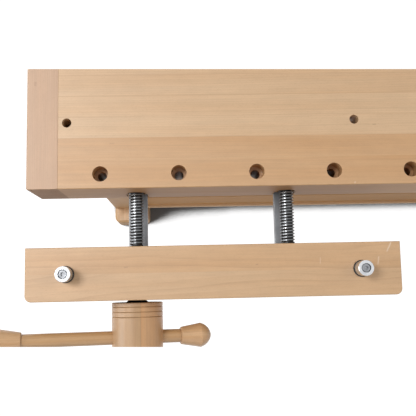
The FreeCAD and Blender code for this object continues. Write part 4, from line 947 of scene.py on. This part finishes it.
@dataclass
class Trestles(Assembly):
    """Feet, legs, head rails, stretchers, shelf and cleats."""

    arris: float = 1.5 * MM
    stave: float = 47 * MM
    leg_stave: float = 45 * MM
    shelf_stave: float = 58 * MM

    def build(self) -> None:
        """Makes every piece under the top."""
        wood = dict(pale=shade(203, 165, 122), warm=shade(187, 141, 94), ring_strength=0.28,
                    warmth=0.55)
        # A lighter copy of the trestle beech for the feet and the shelf: painted light.
        light = dict(wood, pale=shade(224, 188, 148), warm=shade(208, 164, 116))
        # A darker, more saturated copy for the front stretcher: partly its own tone, partly painted
        # shade.
        shaded_amber = dict(wood, pale=shade(204, 156, 100), warm=shade(186, 131, 74), gloss=0.1,
                     lacquer=0.0)
        fine = self.arris * 0.5
        across, upright = Grain.CROSSWISE.value, Grain.UPRIGHT.value
        for i, side in enumerate(("left", "right")):
            foot, head, legs = (f"{side}_{part}" for part in ("foot", "head_rail", "legs"))
            for seed, name, turn, stave, own, radius, glued_to in (
                    (41.0, foot, across, self.stave, light, fine, (legs,)),
                    (43.0, head, across, self.stave, wood, self.arris, (legs, "top_slab")),
                    (45.0, legs, upright, self.leg_stave, wood, self.arris, (foot, head))):
                self.builder.ease(Timber(f"{name} beech", turn=turn, stave=stave, seed=seed + i,
                                         seam_strength=0.3, **own),
                                  name, radius, glued_to=glued_to)
        for i, (name, own) in enumerate((("front_stretcher", shaded_amber), ("back_stretcher", wood))):
            self.builder.ease(Timber(f"{name} beech", seed=51.0 + i, heart_depth=0.09, **own),
                              name, self.arris, glued_to=("left_legs", "right_legs"))
        shelf = Timber("shelf beech", stave=self.shelf_stave, seed=55.0, seam_strength=0.3, **light)
        self.builder.ease(shelf, "shelf_board", self.arris * 0.6)
        cleats = Timber("cleat beech", turn=across, seed=57.0, **wood)
        self.builder.ease(cleats, "shelf_cleats", self.arris * 0.6)
        for seed, grain, name in ((61.0, Grain.LENGTHWISE, "front_guide_rail"),
                                  (62.0, Grain.CROSSWISE, "end_guide_rail")):
            self.builder.ease(Timber(f"{name} beech", turn=grain.value, seed=seed, **wood), name,
                              fine)


JAW_MARKS = (
    Mark(-0.5159, -0.2903, math.radians(64), 20 * MM, 3.5 * MM, 0.5),
    Mark(-0.5339, -0.3116, math.radians(82), 16 * MM, 3.2 * MM, 0.4),
    Mark(-0.6263, -0.3099, math.radians(88), 12 * MM, 2.2 * MM, 0.3),
    Mark(-0.9320, -0.3141, 0.1, 7 * MM, 2.5 * MM, 0.5, KNOT),
    Mark(-0.7266, -0.3138, 0.1, 5 * MM, 2.2 * MM, 0.5, KNOT),
)


@dataclass
class Vise(Assembly):
    """The moving side of one vise and the nuts that it runs in."""

    prefix: str
    grain: Grain
    across: Grain
    handle_turn: Triple
    screws: tuple[str, ...]
    bars: tuple[str, ...]
    nuts: tuple[str, ...]
    jaw_seed: float
    seam: Triple
    marks: tuple[Mark, ...] = ()
    jaw_arris: float = 0.9 * MM
    bar_arris: float = 0.6 * MM
    root_radius: float = 9.25 * MM
    crest_radius: float = 12.0 * MM
    hub_half: float = 90 * MM
    bush_rings: float = 0.4 * MM

    def build(self) -> None:
        """Makes every piece of the vise."""
        self._jaw()
        self._steel()
        self._hub()

    def _jaw(self) -> None:
        """Makes the jaw."""
        name = f"{self.prefix}_jaw"
        centre = self.builder.middle(name)
        centre.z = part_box(name)[1].z
        jaw = Timber(f"{name} beech", turn=self.grain.value, seed=self.jaw_seed, bow=2.0,
                     heart_depth=0.06, ring_spacing=9 * MM, ring_strength=0.26, warmth=0.5,
                     marks=self.marks)
        self.builder.ease(jaw, name, self.jaw_arris, centre)

    def _steel(self) -> None:
        """Dresses the screws, bars, nuts, bushes and fixings."""
        turn, prefix = self.across.value, self.prefix
        for screw in self.screws:
            name = f"{prefix}_{screw}_screw"
            self.builder.dress(
                ThreadSteel(f"{name} steel", self.root_radius, self.crest_radius, turn=turn), name)
        for side in self.bars:
            name = f"{prefix}_guide_bar_{side}"
            steel = GroundSteel(f"{name} steel", shade(168, 171, 175), shade(138, 140, 144),
                                0.48, turn=turn)
            self.builder.ease(steel, name, self.bar_arris)
        iron = GroundSteel(f"{prefix} nut iron", shade(120, 120, 122), shade(84, 84, 88), 0.62)
        brass = TurnedMetal(f"{prefix} bush brass", shade(214, 178, 104), shade(176, 138, 74), 0.3,
                            self.bush_rings, turn=turn)
        zinc = GroundSteel(f"{prefix} bolt zinc", shade(196, 198, 200), shade(150, 154, 160), 0.34)
        self.builder.dress(iron, *(f"{prefix}_nut_{place}" for place in self.nuts))
        self.builder.dress(brass, f"{prefix}_jaw_bushes")
        self.builder.dress(zinc, f"{prefix}_bar_bolts", f"{prefix}_hub_pin")

    def _hub(self) -> None:
        """Dresses the hub, its collar and the handle."""
        hub, handle = f"{self.prefix}_hub", f"{self.prefix}_handle"
        polished = dict(bow=0.5, gloss=0.5, lacquer=0.4, wax=0.4, coat_index=1.5)
        self.builder.dress(
            Timber(f"{hub} beech", pale=shade(180, 145, 108), warm=shade(204, 157, 111),
                   turn=self.across.value, stave=self.hub_half, seed=748.0, roughness=0.38,
                   ring_spacing=4.5 * MM, ring_strength=0.2, warmth=0.5, variety=1.1,
                   seam_strength=0.4, coat_roughness=0.24, **polished),
            hub, centre=self.builder.middle(hub) + Vector(self.seam))
        self.builder.dress(MattBlack(f"{hub} collar black", shade(26, 26, 30), shade(70, 70, 76),
                                     0.4, metallic=0.6), f"{hub}_collar")
        turned = dict(polished, turn=self.handle_turn, roughness=0.36, ring_strength=0.22,
                      coat_roughness=0.22)
        self.builder.dress(Timber(f"{self.prefix} handle beech", pale=shade(198, 160, 116),
                                  warm=shade(182, 136, 88), seed=73.0, heart_side=0.03, **turned),
                           f"{handle}_bar")
        self.builder.dress(Timber(f"{self.prefix} knob beech", pale=shade(212, 174, 132),
                                  warm=shade(198, 152, 106), seed=75.0, **turned),
                           f"{handle}_knobs")


@dataclass
class ChainDrive(Assembly):
    """The chain that turns both front screws, with its sprockets and cover."""

    cover_arris: float = 0.8 * MM
    sprocket_rings: float = 0.5 * MM

    def build(self) -> None:
        """Makes the cover and dresses the drive."""
        self.builder.ease(Timber("cover beech", ring_strength=0.22, seed=81.0),
                          "front_jaw_cover", self.cover_arris)
        chain = GroundSteel("chain steel", shade(150, 150, 152), shade(96, 96, 100), 0.4)
        sprocket = TurnedMetal("sprocket steel", shade(180, 182, 186), shade(130, 134, 140), 0.32,
                               self.sprocket_rings, turn=Grain.CROSSWISE.value)
        zinc = GroundSteel("cover screw zinc", shade(200, 202, 204), shade(160, 164, 168), 0.3)
        self.builder.dress(chain, "drive_chain")
        self.builder.dress(sprocket, "drive_sprocket", "follower_sprocket")
        self.builder.dress(zinc, "front_cover_screws")


@dataclass
class BenchDog(Assembly):
    """One dog: aluminium head, rubber ring, steel stem and its screw."""

    side: str
    head_rings: float = 0.45 * MM
    stem_rings: float = 0.6 * MM
    screw_rings: float = 0.5 * MM

    def build(self) -> None:
        """Dresses the dog."""
        name = f"{self.side}_dog"
        axis = self.builder.middle(f"{name}_head")
        for part, metal, light, dark, roughness, spacing in (
                ("head", "aluminium", shade(224, 226, 229), shade(164, 167, 173), 0.2,
                 self.head_rings),
                ("stem", "stem steel", shade(190, 192, 196), shade(140, 143, 148), 0.28,
                 self.stem_rings),
                ("screw", "screw steel", shade(170, 172, 176), shade(92, 95, 100), 0.22,
                 self.screw_rings)):
            self.builder.dress(TurnedMetal(f"{name} {metal}", light, dark, roughness, spacing),
                               f"{name}_{part}", centre=axis)
        self.builder.dress(MattBlack(f"{name} rubber", shade(30, 30, 31), shade(66, 64, 62), 0.7),
                           f"{name}_ring")


@dataclass
class Fixings(Assembly):
    """Bolts, barrel nuts and screws that hold the bench together."""

    names: tuple[str, ...] = ("frame_bolts", "barrel_nuts", "lag_bolts", "bench_wood_screws")

    def build(self) -> None:
        """Dresses the fixings."""
        zinc = GroundSteel("fixing zinc", shade(198, 200, 203), shade(152, 156, 162), 0.33)
        self.builder.dress(zinc, *self.names)


@dataclass
class Studio:
    """Floor, lamps, sky, camera, and the white cards before its lens."""

    eye: Triple = (-0.83504, -0.34720, 1.86899)
    right: Triple = (0.99931, -0.02154, 0.03031)
    up: Triple = (0.01768, 0.99232, 0.12246)
    back: Triple = (-0.03272, -0.12184, 0.99201)
    lens: float = 55.522
    sensor: float = 36.0
    margin: float = 69 / 416
    card_distance: float = 0.02
    card_overlap: float = 0.1
    floor_size: float = 14.0
    floor_seen: Colour = (0.2, 0.2, 0.205, 1.0)
    floor_unseen: Colour = (0.6, 0.6, 0.6, 1.0)
    # Reach and limits of the painted shade that ambient occlusion lays on the floor near the bench.
    painted_shade_reach: float = 0.24
    painted_shade_dark_at: float = 0.515
    painted_shade_clear_at: float = 0.61
    sky: float = 0.16
    white: Colour = (1.0, 1.0, 1.0, 1.0)
    black: Colour = (0.0, 0.0, 0.0, 1.0)

    def build(self) -> None:
        """Makes the floor, the lamps, the world and the camera."""
        self._floor()
        self._world()
        bench, corner = (-0.2, 0.0, 0.7), (-0.9, 0.0, 0.86)
        self._lamp("key", (-2.35, 0.32, 3.3), corner, (0.9, 1.1), 47.0)
        self._lamp("side", (-3.2, -0.5, 1.5), (-0.9, -0.1, 0.3), (1.6, 1.6), 26.0)
        self._lamp("front", (-0.6, -2.6, 2.3), bench, (2.0, 2.0), 10.0)
        self._lamp("fill", (1.8, 0.2, 3.2), bench, (2.4, 2.4), 42.0, mirrored=False)
        self._camera()
        self._margin_cards()

    @staticmethod
    def _sheets(name: str, side: float, material: Material,
                *places: Matrix) -> bpy.types.Object:
        """Puts square sheets into the scene as one part of the stage.

        Args:
            name: The object's name.
            side: The sheets' side.
            material: Their material.
            *places: Where each sheet goes.

        Returns:
            The object.
        """
        bm = bmesh.new()
        for place in places:
            bmesh.ops.create_grid(bm, x_segments=1, y_segments=1, size=side / 2, matrix=place)
        stage = bpy.data.objects.new(name, bpy.data.meshes.new(name))
        bpy.context.scene.collection.objects.link(stage)
        bm.to_mesh(stage.data)
        bm.free()
        stage.data.materials.append(material)
        return stage

    def _floor(self) -> None:
        """Makes the white floor; close under the bench its glow fades by ambient occlusion, a
        painted shade, and there the real shadow shows too.
        """
        material, s, shader = new_material("white floor")
        seen = self._seen(s)
        # Painted shade: near the bench, ambient occlusion turns the floor's glow down, so its
        # darker seen colour shows.
        painted_shade_ao = s.fill(s.add("AmbientOcclusion", samples=48), Distance=self.painted_shade_reach)
        clear = s.step(painted_shade_ao.outputs["AO"], self.painted_shade_dark_at, self.painted_shade_clear_at)
        s.fill(shader, Base_Color=s.blend(seen, self.floor_unseen, self.floor_seen),
               Roughness=0.9, Emission_Color=self.white, Emission_Strength=s.times(seen, clear))
        self._sheets("floor", self.floor_size, material, Matrix())

    @staticmethod
    def _seen(s: NodeSketch) -> Socket:
        """Tells what is looked at, straight or by reflection.

        Args:
            s: Where the nodes go.

        Returns:
            1 where it is looked at, and 0 elsewhere.
        """
        path = s.add("LightPath").outputs
        bounced = s.more(path["Is Glossy Ray"], path["Is Transmission Ray"])
        return s.math("MINIMUM", 1.0, s.more(path["Is Camera Ray"], bounced))

    def _margin_cards(self) -> None:
        """Hangs small white cards just before the lens, over the picture's blank margins."""
        frame_side = self.card_distance * self.sensor / self.lens
        whole, over = 1 + 2 * self.card_overlap, self.card_overlap
        rise = frame_side * (0.5 - (self.margin - over) / 2)
        flat = Matrix.Diagonal((1.0, (self.margin + over) / whole, 1.0, 1.0))
        places = (self._camera_place() @ Matrix.Translation((0.0, height, -self.card_distance))
                  @ flat for height in (rise, -rise))
        material, s, shader = new_material("white card")
        s.fill(shader, Base_Color=self.black, Emission_Color=self.white, Emission_Strength=1.0)
        card = self._sheets("margin_card", frame_side * whole, material, *places)
        card.visible_diffuse = card.visible_glossy = card.visible_shadow = False

    def _world(self) -> None:
        """Makes an even sky that shows as white."""
        world = bpy.data.worlds.new("studio")
        bpy.context.scene.world = world
        world.use_nodes = True
        world.node_tree.nodes.clear()
        s = NodeSketch(world.node_tree)
        strength = s.times_plus(self._seen(s), 1.0 - self.sky, self.sky)
        sky = s.fill(s.add("Background"), Color=self.white, Strength=strength)
        s.fill(s.add("OutputWorld"), Surface=sky.outputs[0])

    @staticmethod
    def _lamp(name: str, place: Triple, target: Triple, size: tuple[float, float],
              power: float, mirrored: bool = True) -> None:
        """Hangs one flat lamp.

        Args:
            name: The lamp's name.
            place: Where it hangs.
            target: What it faces.
            size: Its two sides in metres.
            power: Its power in watts.
            mirrored: Whether polished surfaces show it.
        """
        lamp = bpy.data.lights.new(name, "AREA")
        lamp.shape = "RECTANGLE"
        lamp.size, lamp.size_y = size
        lamp.energy = power
        holder = bpy.data.objects.new(name, lamp)
        holder.location = place
        aim = Vector(target) - Vector(place)
        holder.rotation_euler = aim.to_track_quat("-Z", "Y").to_euler()
        holder.visible_glossy = mirrored
        bpy.context.scene.collection.objects.link(holder)

    def _camera_place(self) -> Matrix:
        """Returns the camera's place and turn."""
        turn = Matrix((self.right, self.up, self.back)).transposed().to_4x4()
        return Matrix.Translation(self.eye) @ turn

    def _camera(self) -> None:
        """Places the camera."""
        camera = bpy.data.cameras.new("camera")
        camera.lens = self.lens
        camera.sensor_width = self.sensor
        camera.sensor_fit = "HORIZONTAL"
        camera.clip_start, camera.clip_end = 0.01, 50.0
        holder = bpy.data.objects.new("camera", camera)
        holder.matrix_world = self._camera_place()
        bpy.context.scene.collection.objects.link(holder)
        bpy.context.scene.camera = holder
        bpy.context.scene.view_settings.view_transform = "Standard"


def clear_startup() -> None:
    """Takes away whatever an empty file starts with."""
    kept = set(frame["nodes"].values()) | set(frame["bodies"].values())
    for item in list(bpy.data.objects):
        if item not in kept:
            bpy.data.objects.remove(item)


def main() -> None:
    """Builds the dressed bench and logs how many pieces it dressed."""
    logging.basicConfig(level=logging.INFO, format="%(name)s: %(message)s")
    clear_startup()
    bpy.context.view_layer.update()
    builder = Builder(Effects())
    seam_offset = 8.4 * MM
    BenchTop(builder).build()
    Trestles(builder).build()
    Vise(builder, "front", Grain.LENGTHWISE, Grain.CROSSWISE,
         handle_turn=(0.0, math.radians(10), 0.0),
         screws=("drive", "follower"), bars=("left", "right"), nuts=("left", "right"),
         jaw_seed=45.0, seam=(seam_offset, 0.0, 0.0), marks=JAW_MARKS).build()
    ChainDrive(builder).build()
    for side in ("left", "right"):
        BenchDog(builder, side).build()
    Vise(builder, "end", Grain.CROSSWISE, Grain.LENGTHWISE,
         handle_turn=(0.0, math.radians(40), math.pi / 2), screws=("drive",),
         bars=("front", "back"), nuts=("middle",), jaw_seed=87.0,
         seam=(0.0, seam_offset, 0.0)).build()
    Fixings(builder).build()
    Studio().build()
    LOG.info("%d pieces dressed", builder.pieces)


if __name__ == "__main__":
    main()
